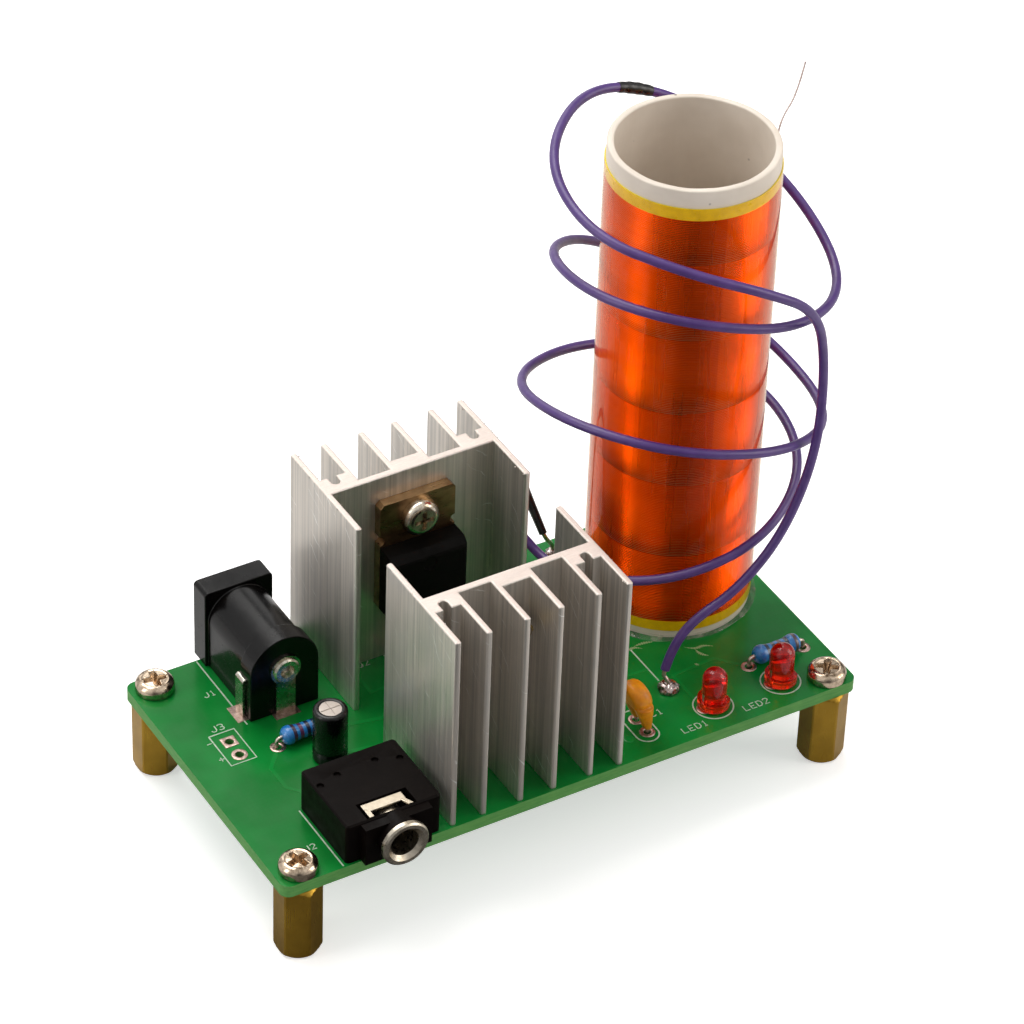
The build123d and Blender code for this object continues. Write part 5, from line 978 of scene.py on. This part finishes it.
class KIT_OT_primary_wire(bpy.types.Operator):
    """The loose violet wire round the pipe, its two black sleeves, its bare ends and their solder"""
    bl_idname = "kit.primary_wire"
    bl_label = "Primary wire"

    def execute(self, context):
        thick = context.scene.kit_sizes.wire_thickness
        route = [round_pipe(*point) for point in WIRE_ROUTE]
        black = shrink_film("black_shrink_film")
        line = followed(route)
        total = sum((b - a).length for a, b in zip(line, line[1:]))
        wire = carry("primary_wire_cover", spline("primary_wire_cover", route, thick), insulation(),
                     stands_for=("primary_wire",))
        # the splice: a short sleeve that swells over the joint and pinches at its ends
        spots = stretch_of(line, SPLICE[0], SPLICE[1], 36)
        radii = []
        for i in range(36):
            share = i / 35
            swell = thick / 2 + (0.05 + 0.1 * sin(pi * share) + 0.02 * sin(share * 23.0)) * MM
            radii.append(swell)
        splice = carry("splice_cover", settled(tube(spots, radii, 20), "splice_cover", 60), black,
                       stands_for=("splice_sleeve",))
        # the end sleeve runs on from the wire's last few millimetres to just above the pad
        foot = round_pipe(*SHRINK_FOOT)
        tail = stretch_of(line, total - 6.5 * MM, total, 16) + [line[-1].lerp(foot, s / 10) for s in range(1, 11)]
        radii = [thick / 2 + (0.04 + 0.03 * sin(i * 1.7) * (i % 3) / 3) * MM for i in range(16)]
        radii += [thick / 2 + (0.03 - 0.012 * i) * MM for i in range(10)]
        sleeve = carry("end_cover", settled(tube(tail, radii, 18), "end_cover", 60), black,
                       stands_for=("end_sleeve",))
        lead = tin("tinned_copper", "C9BFB4", "8F8478", 0.3, 0.4)
        repaint(lead, "primary_end_lead", "primary_start_lead")
        self.joint()
        return {"FINISHED"}

    @staticmethod
    def joint():
        """The hand-made joints of the wire's two ends: remelted, lumpy and dark with flux."""
        shape = merged("primary_solder")
        mesh = changed(settled(shape, "wire_joints"), ("SUBSURF", {"levels": 1, "render_levels": 1}))
        roughen(mesh, 0.7, 0.16, 0.08)
        mesh.shade_smooth()
        carry("wire_joints", mesh, tin("solder", "CDBFBB", "5A4E4A", 0.2, 0.7),
              stands_for=("primary_solder",))


class KIT_OT_former(bpy.types.Operator):
    """The white pipe with its close winding, yellow bands, clear film, fine leads and glue"""
    bl_idname = "kit.former"
    bl_label = "Wound former"

    def execute(self, context):
        low, high = PIPE_LOW.z, PIPE_HIGH.z
        outer, inner = PIPE_RADIUS, PIPE_RADIUS - 0.85 * MM
        round_ = 0.22 * MM
        outline = [(outer, low)] + [(outer, low + (high - low) * i / 8) for i in range(1, 8)]
        outline += [(outer - round_ + round_ * cos(a), high - round_ + round_ * sin(a)) for a in (0, 0.5, 1.05, pi / 2)]
        outline += [(inner + round_ - round_ * sin(a), high - round_ + round_ * cos(a)) for a in (0, 0.5, 1.05, pi / 2)]
        outline += [(inner, low + (high - low) * i / 8) for i in range(7, 0, -1)] + [(inner, low)]

        def cut(radius, up, turn):
            # the saw left the rim a little uneven, and the wall isn't quite round inside
            at_rim = max(0.0, (up - high + 0.6 * MM) / (0.6 * MM))
            up -= at_rim * 0.09 * MM * (0.5 + noise.noise(Vector((3 * cos(turn), 3 * sin(turn), 1.0))))
            if radius < outer - 0.3 * MM:
                radius += 0.06 * MM * noise.noise(Vector((2 * cos(turn), 2 * sin(turn), up / (14 * MM))))
            return radius, up
        carry("pipe", settled(turned(outline, PIPE_AXIS, 168, cut), "pipe", 50), white_pipe(),
              stands_for=("former_tube",))
        self.winding(context)
        self.film()
        tape = yellow_tape()
        for node, name, seed in (("lower_end_band", "lower_tape", 3.0), ("upper_end_band", "upper_tape", 9.0)):
            self.band(node, name, tape, seed)
        self.leads()
        self.glue()
        return {"FINISHED"}

    @staticmethod
    def winding(context):
        bottom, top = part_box("secondary_winding")
        copper = enamelled_copper()
        mesh = grown(winding_tree(copper), wires("coil", []), {
            "Pipe radius": PIPE_RADIUS, "Outer radius": (top.x - bottom.x) / 2 - 0.03 * MM,
            "Height": top.z - bottom.z, "Pitch": context.scene.kit_sizes.winding_pitch})
        mesh.transform(Matrix.Translation((PIPE_AXIS.x, PIPE_AXIS.y, bottom.z)))
        carry("close_winding", mesh, copper, stands_for=("secondary_winding",))

    @staticmethod
    def film():
        """Two wraps of film: each laps over itself, and the upper one laps over the lower."""
        bottom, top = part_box("clear_film")
        radius = (top.x - bottom.x) / 2
        inside = radius - 0.05 * MM
        count, rows = 216, 60
        shape = bmesh.new()
        seam = radians(-96.0)

        def outside(turn, up):
            share = (up - bottom.z) / (top.z - bottom.z)
            past = (turn - seam - 0.16 * share) % tau
            lap = 0.018 * MM if past < 0.5 else 0.0
            middle = BOARD_TOP + WRAP_JOIN * MM
            join = 0.014 * MM if abs(up - middle) < 0.75 * MM else 0.0
            ripple = 0.006 * MM * noise.noise(Vector((4 * cos(turn), 4 * sin(turn), up / (6 * MM))))
            return radius - 0.033 * MM + lap + join + ripple
        walls = []
        levels = [bottom.z + (top.z - bottom.z) * i / rows for i in range(rows + 1)]
        for i, up in enumerate(levels):
            walls.append([shape.verts.new((PIPE_AXIS.x + outside(tau * k / count, up) * cos(tau * k / count),
                                           PIPE_AXIS.y + outside(tau * k / count, up) * sin(tau * k / count), up))
                          for k in range(count)])
        walls += [[shape.verts.new((PIPE_AXIS.x + inside * cos(tau * k / count),
                                    PIPE_AXIS.y + inside * sin(tau * k / count), up))
                   for k in range(count)] for up in (levels[-1], levels[0])]
        for near, far in zip(walls, walls[1:] + walls[:1]):
            for k in range(count):
                shape.faces.new((near[k], near[(k + 1) % count], far[(k + 1) % count], far[k]))
        carry("wrapped_film", settled(shape, "wrapped_film", 40), clear_wrap(),
              stands_for=("clear_film",))

    @staticmethod
    def band(node, name, tape, seed):
        """A narrow band of tape whose edges wander a little."""
        low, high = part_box(node)
        radius = (high.x - low.x) / 2
        outline = [(PIPE_RADIUS + 0.01 * MM, low.z), (radius - 0.01 * MM, low.z), (radius - 0.01 * MM, high.z),
                   (PIPE_RADIUS + 0.01 * MM, high.z)]

        def wander(reach, up, turn):
            drift = 0.09 * MM * noise.noise(Vector((2.5 * cos(turn), 2.5 * sin(turn), seed + (up > low.z + 0.1 * MM))))
            return reach, min(max(up + drift - 0.05 * MM, low.z), high.z)
        carry(name, settled(turned(outline, PIPE_AXIS, 168, wander), name, 40), tape,
              stands_for=(node,))

    @staticmethod
    def leads():
        """The winding's two hair-fine ends: one stands up from the rim, one goes down to its pad."""
        wire = tin("fine_lead_enamel", "EADDDA", "CDB8B2", 0.5, 0.3)
        for node, name, points in (
                ("secondary_upper_lead", "upper_lead", [(10.45, -1.2, 59.6), (10.45, -1.2, 61.4), (10.45, -1.2, 63.2),
                                                        (10.9, -1.3, 65.4), (12.7, -1.1, 67.6), (13.7, -0.9, 71.6)]),
                ("secondary_lower_lead", "lower_lead", [(-10.45, 1.0, 3.4), (-10.45, 1.0, 1.6), (-11.6, 0.6, 0.7),
                                                        (-12.6, 0.2, 0.5), (-12.6, 0.2, -2.4)])):
            line = followed([round_pipe(*point) for point in points])
            carry(name, settled(tube(line, [0.115 * MM] * len(line), 10), name, 60), wire,
                  stands_for=(node,))

    @staticmethod
    def glue():
        """A low skirt of clear glue that ran out unevenly round the foot."""
        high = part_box("base_glue")[1]

        def ran(radius, up, turn):
            if radius > PIPE_RADIUS + 0.2 * MM:
                push = noise.noise(Vector((2.2 * cos(turn), 2.2 * sin(turn), 5.0)))
                radius += (radius - PIPE_RADIUS) * 0.55 * push
            return radius, up
        skirt = [(-0.02, 0), (0.75, 0), (0.6975, 0.07), (0.45, 0.16), (0.15, 0.26)]
        outline = profile(BOARD_TOP, skirt, PIPE_RADIUS) + [(PIPE_RADIUS - 0.02 * MM, high.z)]
        carry("foot_glue", settled(turned(outline, PIPE_AXIS, 120, ran), "foot_glue", 60), clear_glue(),
              stands_for=("base_glue",))
        # strings of glue that dried on the board in front of the foot
        shape = bmesh.new()
        for line in GLUE_STRINGS:
            spots = followed([at(x, y, 0.03) for x, y in line])
            wide = [(0.17 + 0.12 * sin(i * 2.1)) * sin(pi * (i + 0.7) / (len(spots) + 0.6)) * MM
                    for i in range(len(spots))]
            string = tube(spots, wide, 10)
            for spot in string.verts:
                spot.co.z = BOARD_TOP + max(-0.01 * MM, (spot.co.z - BOARD_TOP) * 0.3)
            gather(shape, string)
        made, tree, shader = finish("dried_glue", {"IOR": 1.5})
        put(shader, {"Base Color": tint(tree, cloud(tree, 0.6), srgb("A3A878"), srgb("6F9A5C")),
                     "Roughness": uneven(tree, 0.3, 0.5, 0.5),
                     "Normal": bumps(tree, 0.03, 0.6, 0.5, 2.0)})
        carry("glue_strings", settled(shape, "glue_strings", 70), made)


class KIT_OT_board(bpy.types.Operator):
    """The board's mask, copper runs, tinned pads, print and solder joints"""
    bl_idname = "kit.board"
    bl_label = "Circuit board"

    def execute(self, context):
        sizes = context.scene.kit_sizes
        repaint(solder_mask(), "circuit_board")
        covered = solder_mask("mask_over_copper", 0.22)
        under = BOARD_LOW.z - BOARD_TOP
        for name, runs, level in (("top_copper", TOP_RUNS, 0.0), ("under_copper", UNDER_RUNS, under / MM)):
            tree = ribbon_tree(covered)
            shape = bmesh.new()
            for width, run in runs:
                shape.from_mesh(grown(tree, wires(name, [[at(x, y, level) for x, y in run]]),
                                      {"Width": width * MM, "Thickness": 0.05 * MM}))
            carry(name, settled(shape, name, 30), covered)
        self.tented_hole(covered)
        tinned = tin("tinned_pads", "C7AFA6", "9A7F74", 0.34, 0.5)
        rings = grown(pad_tree(tinned), wires("pads", [[at(x, y)] for x, y in RING_PADS]), {})
        rings.shade_smooth()
        carry("ring_pads", rings, tinned)
        shape = bmesh.new()
        for x, y, wide, deep in SQUARE_PADS:
            size = Matrix.Diagonal((wide * MM, deep * MM, 0.12 * MM, 1))
            made = bmesh.ops.create_cube(shape, size=1.0, matrix=Matrix.Translation(at(x, y)) @ size)
            edges = {edge for spot in made["verts"] for edge in spot.link_edges}
            bmesh.ops.bevel(shape, geom=list(edges), offset=0.05 * MM, segments=2, affect="EDGES")
        for x, y, square in HEADER_PADS:
            def shaped(radius, up, turn):
                if square and radius > 0.6 * MM:
                    radius = min(radius * 1.3, radius * 0.92 / max(abs(cos(turn)), abs(sin(turn))))
                return radius, up
            outline = profile(BOARD_TOP, [(0.5, 0), (0.98, 0), (0.95, 0.07), (0.8, 0.1), (0.54, 0.08)])
            gather(shape, turned(outline, at(x, y), 48, shaped))
        carry("square_pads", settled(shape, "square_pads", 50), tinned)
        ink = white_print()
        runs = [[at(x, y, PRINT_LIFT) for x, y in line] for line in OUTLINES]
        for x, y, radius in RINGS_PRINTED:
            runs.append([at(x + radius * cos(tau * k / 40), y + radius * sin(tau * k / 40), PRINT_LIFT)
                         for k in range(41)])
        # a stadium round the dipped capacitor's feet
        runs.append([at(11.3 + 1.45 * cos(a), -15.0 + (1.5 if sin(a) > 0 else -1.5) + 1.45 * sin(a), PRINT_LIFT)
                     for a in [tau * k / 32 + 0.0001 for k in range(33)]])
        strokes = []
        for text, x, y, tall in PRINTED:
            scale = tall / 6
            for i, letter in enumerate(text):
                for stroke in STROKES[letter]:
                    strokes.append([at(x + (i * 6 + px) * scale, y + py * scale, PRINT_LIFT) for px, py in stroke])
        tree = ribbon_tree(ink)
        shape = bmesh.new()
        for lines, share in ((runs, 1.0), (strokes, 0.72)):
            shape.from_mesh(grown(tree, wires("print", lines),
                                  {"Width": sizes.print_width * share, "Thickness": 0.03 * MM}))
        carry("white_print", settled(shape, "white_print"), ink)
        repaint(tin("solder_joint", "C4C0BC", "8E8883", 0.2, 0.9), "solder_joints")
        return {"FINISHED"}

    @staticmethod
    def tented_hole(covered):
        """Mask over the hole that the turned dipped capacitor leaves, and a joint under its new one."""
        dome = [(0.02, 0), (0.7, 0), (0.62, 0.05), (0.4, 0.06), (0.02, 0.04)]
        shape = turned(profile(BOARD_TOP, dome), at(8.93, -16.3), 24)
        carry("tented_hole", settled(shape, "tented_hole", 60), covered)
        cone = [(0.02, 0), (0.85, 0), (0.6, -0.25), (0.4, -0.8), (0.25, -1.1), (0.02, -1.15)]
        shape = turned(profile(BOARD_LOW.z, cone), at(11.47, -13.76), 24)
        carry("new_joint", settled(shape, "new_joint", 60), tin("new_joint", "C4C0BC", "8E8883", 0.2, 0.9))


class KIT_OT_standoffs(bpy.types.Operator):
    """The brass standoffs and the board's four screws"""
    bl_idname = "kit.standoffs"
    bl_label = "Standoffs and screws"

    def execute(self, context):
        low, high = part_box("standoffs")
        half_flats, half_corners = 2.5 * MM, 2.8868 * MM
        pillars, screws = bmesh.new(), bmesh.new()
        for i, (x, y) in enumerate((x, y) for x in (low.x + half_corners, high.x - half_corners)
                                    for y in (low.y + half_flats, high.y - half_flats)):
            axis = Vector((x, y, 0.0))
            gather(pillars, self.pillar(axis, low.z, high.z))
            gather(screws, self.screw(axis, 0.3 + 1.1 * i))
        carry("brass_pillars", settled(pillars, "brass_pillars", 28), turned_brass(),
              stands_for=("standoffs",))
        carry("pan_screws", settled(screws, "pan_screws", 28),
              plated_steel("nickel_plated_steel", "CDB9A2", "5E4A36", 0.16),
              stands_for=("standoff_screws",))
        return {"FINISHED"}

    @staticmethod
    def pillar(axis, low, high):
        """Hexagonal bar with a flat towards the camera, its ends turned down at the corners, and its foot's bore."""
        ends = (0.0, 0.12, 0.25, 0.4, 0.55, 0.8)
        outline = profile(low, [(0.02, 4.4), (1.05, 4.3), (1.05, 0.2), (1.25, 0)] + [(3, up) for up in ends])
        outline += profile(high, [(3, -up) for up in reversed(ends)] + [(0.02, 0)])

        def hexagon(radius, up, turn):
            if radius > 2 * MM:
                flat = 2.5 * MM / cos((turn + pi / 6) % (pi / 3) - pi / 6)
                end = 2.32 * MM + 1.05 * min(up - low, high - up)
                radius = min(flat, end, 2.82 * MM)
            return radius, up
        return turned(outline, axis, 144, hexagon)

    @staticmethod
    def screw(axis, start):
        """A pan head with a worn cross recess, and its shank through the board."""
        rise, reach, tip = 1.6 * MM, 2.35 * MM, 0.9 * MM
        outline = [((0.02 + 0.06 * i) * MM, BOARD_TOP + rise) for i in range(25)]
        outline += [(reach - tip + tip * sin(a), BOARD_TOP + rise - tip + tip * cos(a))
                    for a in (0.2, 0.5, 0.8, 1.1, 1.35, pi / 2)]
        outline += profile(BOARD_TOP, [(0, 0.12), (-0.1, 0)], reach)
        outline += profile(BOARD_TOP, [(1.2, 0), (1.2, -2.4), (0.02, -2.4)])

        def recess(radius, up, turn):
            if up > BOARD_TOP + rise - 0.01 * MM:
                along = radius * max(abs(cos(turn - start)), abs(sin(turn - start))) / MM
                aside = radius * min(abs(cos(turn - start)), abs(sin(turn - start))) / MM
                deep = min(1.15, 2.4 * (1.4 - along), 3.2 * (0.5 - 0.08 * along - aside))
                up += (max(deep, 0.0) * -1.0 - 0.03 * (radius / MM) ** 2) * MM
            return radius, up
        return turned(outline, axis, 120, recess)


class KIT_OT_heat_sinks(bpy.types.Operator):
    """The two sawn and extruded heat sinks with their burrs"""
    bl_idname = "kit.heat_sinks"
    bl_label = "Heat sinks"

    def execute(self, context):
        metal = extruded_aluminium()
        for seed, (node, side) in enumerate((("rear_heat_sink", 1), ("front_heat_sink", -1))):
            eased(node, node.replace("heat_sink", "sink"), metal, edge=0.08)
            low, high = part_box(node)
            wall = 0.4 * MM
            near, far = (low.y, high.y) if side > 0 else (high.y, low.y)
            base = near + side * 7.7 * MM
            top = high.z - 0.06 * MM
            lines = [[(low.x + wall, near + side * wall, top), (low.x + wall, far - side * wall, top)],
                     [(high.x - wall, near + side * wall, top), (high.x - wall, far - side * wall, top)],
                     [(low.x + wall, base, top), (high.x - wall, base, top)]]
            flakes = grown(burr_tree(metal, 11 + 7 * seed), wires("saw_line", lines),
                           {"Count": context.scene.kit_sizes.burrs // 3, "Size": 0.2 * MM})
            for spot in flakes.vertices:
                spot.co.z = min(spot.co.z, high.z + 0.05 * MM)
                spot.co.x = min(max(spot.co.x, low.x), high.x)
            carry(node.replace("heat_sink", "sink_burrs"), flakes, metal)
        return {"FINISHED"}


class KIT_OT_transistors(bpy.types.Operator):
    """The two transistors, their legs and clamping screws"""
    bl_idname = "kit.transistors"
    bl_label = "Transistors"

    def execute(self, context):
        epoxy, tab = transistor_epoxy(), tab_with_painted_reflection()
        for side in ("rear", "front"):
            eased(f"{side}_transistor_body", f"{side}_transistor_case", epoxy, edge=0.12)
            eased(f"{side}_transistor_frame", f"{side}_transistor_tab", tab, edge=0.05)
        repaint(tin("tinned_legs", "CFC8BE", "9C9286", 0.25, 0.6), "rear_transistor_leads", "front_transistor_leads")
        steel = plated_steel("plated_screw", "D6CCBC", "8F8069", 0.18)
        repaint(steel, "transistor_screws")
        # the screw's zinc-yellow tip stands out between the front sink's fins
        zinc = plated_steel("yellow_zinc_thread", "C9B37E", "8F7B4A", 0.3)
        tip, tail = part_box("transistor_screws")
        middle = (tip + tail) / 2
        shape = bmesh.new()
        for start, turn in ((tip.y + 0.25 * MM, pi / 2), (tail.y - 0.25 * MM, -pi / 2)):
            ridge = grown(thread_tree(zinc), wires("thread", []), {"Radius": 1.02 * MM, "Length": 1.5 * MM})
            ridge.transform(Matrix.Translation((middle.x, start, middle.z)) @ Matrix.Rotation(-turn, 4, "X"))
            shape.from_mesh(ridge)
        carry("screw_threads", settled(shape, "screw_threads", 50), zinc)
        return {"FINISHED"}


class KIT_OT_power_jack(bpy.types.Operator):
    """The power jack's moulding, terminals, pin and spring"""
    bl_idname = "kit.power_jack"
    bl_label = "Power jack"

    def execute(self, context):
        eased("dc_jack_housing", "power_jack_case", moulded("gloss_black_moulding", "060505", 0.3, 0.22, 0.002, 0.1),
              edge=0.28)
        strip = tin("tinned_strip", "CBC7BE", "98917F", 0.2, 0.7)
        repaint(strip, "dc_jack_rear_terminal", "dc_jack_side_contact", "dc_jack_sleeve_terminal")
        silver = plated_steel("nickel_silver", "D9D3C4", "ADA390", 0.22)
        repaint(silver, "dc_jack_centre_pin")
        eased("dc_jack_sleeve_spring", "sleeve_leaf", silver, "sleeve_spring", 0.04)
        return {"FINISHED"}


class KIT_OT_audio_jack(bpy.types.Operator):
    """The audio jack's case, plated ring, clip and contacts"""
    bl_idname = "kit.audio_jack"
    bl_label = "Audio jack"

    def execute(self, context):
        case = moulded("satin_black_moulding", "0A0605", 0.14, 0.4, 0.006)
        eased("audio_jack_housing", "audio_jack_case", case, edge=0.1)
        repaint(case, "audio_jack_base")
        repaint(plated_steel("plated_ring", "C4BBAB", "9A8F7E", 0.3), "audio_jack_collar")
        eased("audio_jack_clip", "clip_strip", plated_steel("clip_nickel_silver", "C6BCAA", "B4A996", 0.36),
              "plug_clip", 0.05)
        repaint(tin("contact_tin", "C9C2B8", "958B7E", 0.25, 0.6), "audio_jack_tip_contact", "audio_jack_ring_contact",
                "audio_jack_ground_terminal")
        return {"FINISHED"}


class KIT_OT_filter_capacitor(bpy.types.Operator):
    """The electrolytic capacitor: scored can top, printed sleeve, bung and leads"""
    bl_idname = "kit.filter_capacitor"
    bl_label = "Filter capacitor"

    def execute(self, context):
        low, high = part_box("filter_capacitor_sleeve")
        made, tree, shader = finish("capacitor_can", {}, metal=True)
        put(shader, {"Base Color": tint(tree, cloud(tree, 1.5), srgb("C6BEB8"), srgb("AAA19A")),
                     "Roughness": uneven(tree, 0.28, 0.42, 0.15, 2.0, (1, 0.1, 1)),
                     "Normal": bumps(tree, 0.006, 0.7, 0.2, 2.0, (1, 0.1, 1))})
        repaint(made, "filter_capacitor_can")
        axis, reach = (low + high) / 2, (high.x - low.x) / 2
        shoulder = 0.42 * MM
        outline = profile(low.z, [(-0.12, 0), (0, 0.1), (0, 1.2), (-0.13, 1.4), (-0.13, 1.6), (0, 1.85)], reach)
        outline += [(reach - shoulder + shoulder * cos(a), high.z - shoulder + shoulder * sin(a))
                    for a in (0, 0.4, 0.8, 1.2, pi / 2)]
        outline += profile(high.z, [(-0.66, -0.02), (-0.72, -0.09), (-0.66, -0.16), (-0.3, -0.3)], reach)
        outline += [(reach - 0.3 * MM, low.z)]

        def crinkled(radius, up, turn):
            # the shrunk edge on the can's top isn't quite round
            if radius < reach - 0.5 * MM and up > high.z - 0.2 * MM:
                radius += 0.05 * MM * noise.noise(Vector((2 * cos(turn), 2 * sin(turn), 0.0)))
            return radius, up
        carry("capacitor_jacket", settled(turned(outline, axis, 96, crinkled), "capacitor_jacket", 50),
              capacitor_sleeve(), stands_for=("filter_capacitor_sleeve",))
        repaint(moulded("black_rubber", "141414", 0.2, 0.7, 0.01), "filter_capacitor_bung")
        repaint(tin("capacitor_leads", "C9C2B8", "958B7E", 0.25, 0.6), "filter_capacitor_leads")
        return {"FINISHED"}


class KIT_OT_resistors(bpy.types.Operator):
    """The two blue metal film resistors"""
    bl_idname = "kit.resistors"
    bl_label = "Resistors"

    def execute(self, context):
        for side, rings in RESISTOR_RINGS.items():
            low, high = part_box(f"{side}_resistor_body")
            repaint(resistor_lacquer(f"{side}_resistor_lacquer", (low.x + high.x) / 2, rings), f"{side}_resistor_body")
        repaint(tin("resistor_leads", "C9BFB4", "8F8478", 0.3, 0.4), "left_resistor_leads", "right_resistor_leads")
        return {"FINISHED"}


class KIT_OT_indicator_lamps(bpy.types.Operator):
    """The two red indicator lamps"""
    bl_idname = "kit.indicator_lamps"
    bl_label = "Indicator lamps"

    def execute(self, context):
        repaint(lamp_resin(), "left_led_lens", "right_led_lens")
        repaint(tin("lamp_frames", "D8D0C8", "A79C92", 0.3, 0.6), "left_led_leadframe", "right_led_leadframe")
        return {"FINISHED"}


class KIT_OT_dipped_capacitor(bpy.types.Operator):
    """The dipped capacitor, one skin from its round top to its legs"""
    bl_idname = "kit.dipped_capacitor"
    bl_label = "Dipped capacitor"

    def execute(self, context):
        # the photograph shows it standing along the board's depth, so both of its pieces are turned a quarter
        # about the leg that stays in its hole
        foot = at(11.47, -16.3)
        quarter = Matrix.Translation(foot) @ Matrix.Rotation(-pi / 2, 4, "Z") @ Matrix.Translation(-foot)
        mesh = changed(settled(merged("ceramic_capacitor_body"), "dipped_body"),
                       ("REMESH", {"mode": "VOXEL", "voxel_size": 0.14 * MM, "use_smooth_shade": True}),
                       ("SMOOTH", {"factor": 0.5, "iterations": 9}),
                       ("SUBSURF", {"levels": 1, "render_levels": 1}))
        roughen(mesh, 1.4, 0.03)
        mesh.transform(quarter)
        # it was pushed down and leans towards the heat sink
        for spot in mesh.vertices:
            up = max(spot.co.z - BOARD_TOP - 0.7 * MM, 0.0)
            spot.co.z -= 0.2 * up
            spot.co.x -= 0.17 * up
        carry("dipped_body", mesh, dipped_epoxy(), stands_for=("ceramic_capacitor_body",))
        legs = settled(merged("ceramic_capacitor_leads"), "dipped_legs")
        legs.transform(quarter)
        carry("dipped_legs", legs, tin("dipped_leads", "C9BFB4", "8F8478", 0.3, 0.4),
              stands_for=("ceramic_capacitor_leads",))
        return {"FINISHED"}


OPERATORS = (
    KIT_OT_stage, KIT_OT_primary_wire, KIT_OT_former, KIT_OT_board, KIT_OT_standoffs, KIT_OT_heat_sinks,
    KIT_OT_transistors, KIT_OT_power_jack, KIT_OT_audio_jack, KIT_OT_filter_capacitor, KIT_OT_resistors,
    KIT_OT_indicator_lamps, KIT_OT_dipped_capacitor,
)


class KIT_PT_panel(bpy.types.Panel):
    bl_idname = "KIT_PT_panel"
    bl_label = "Resonant transformer kit"
    bl_space_type = "VIEW_3D"
    bl_region_type = "UI"
    bl_category = "Kit"

    def draw(self, context):
        for group in (context.scene.kit_sizes, context.scene.kit_colours):
            for name in group.bl_rna.properties.keys():
                if name not in ("rna_type", "name"):
                    self.layout.prop(group, name)
        for operator in OPERATORS:
            self.layout.operator(operator.bl_idname)


CLASSES = (KitSizes, KitColours) + OPERATORS + (KIT_PT_panel,)


def register():
    for each in CLASSES:
        bpy.utils.register_class(each)
    bpy.types.Scene.kit_sizes = bpy.props.PointerProperty(type=KitSizes)
    bpy.types.Scene.kit_colours = bpy.props.PointerProperty(type=KitColours)


def unregister():
    del bpy.types.Scene.kit_sizes
    del bpy.types.Scene.kit_colours
    for each in reversed(CLASSES):
        bpy.utils.unregister_class(each)


def main():
    """Makes every piece in order."""
    register()
    for operator in OPERATORS:
        family, name = operator.bl_idname.split(".")
        getattr(getattr(bpy.ops, family), name)()


if __name__ == "__main__":
    main()
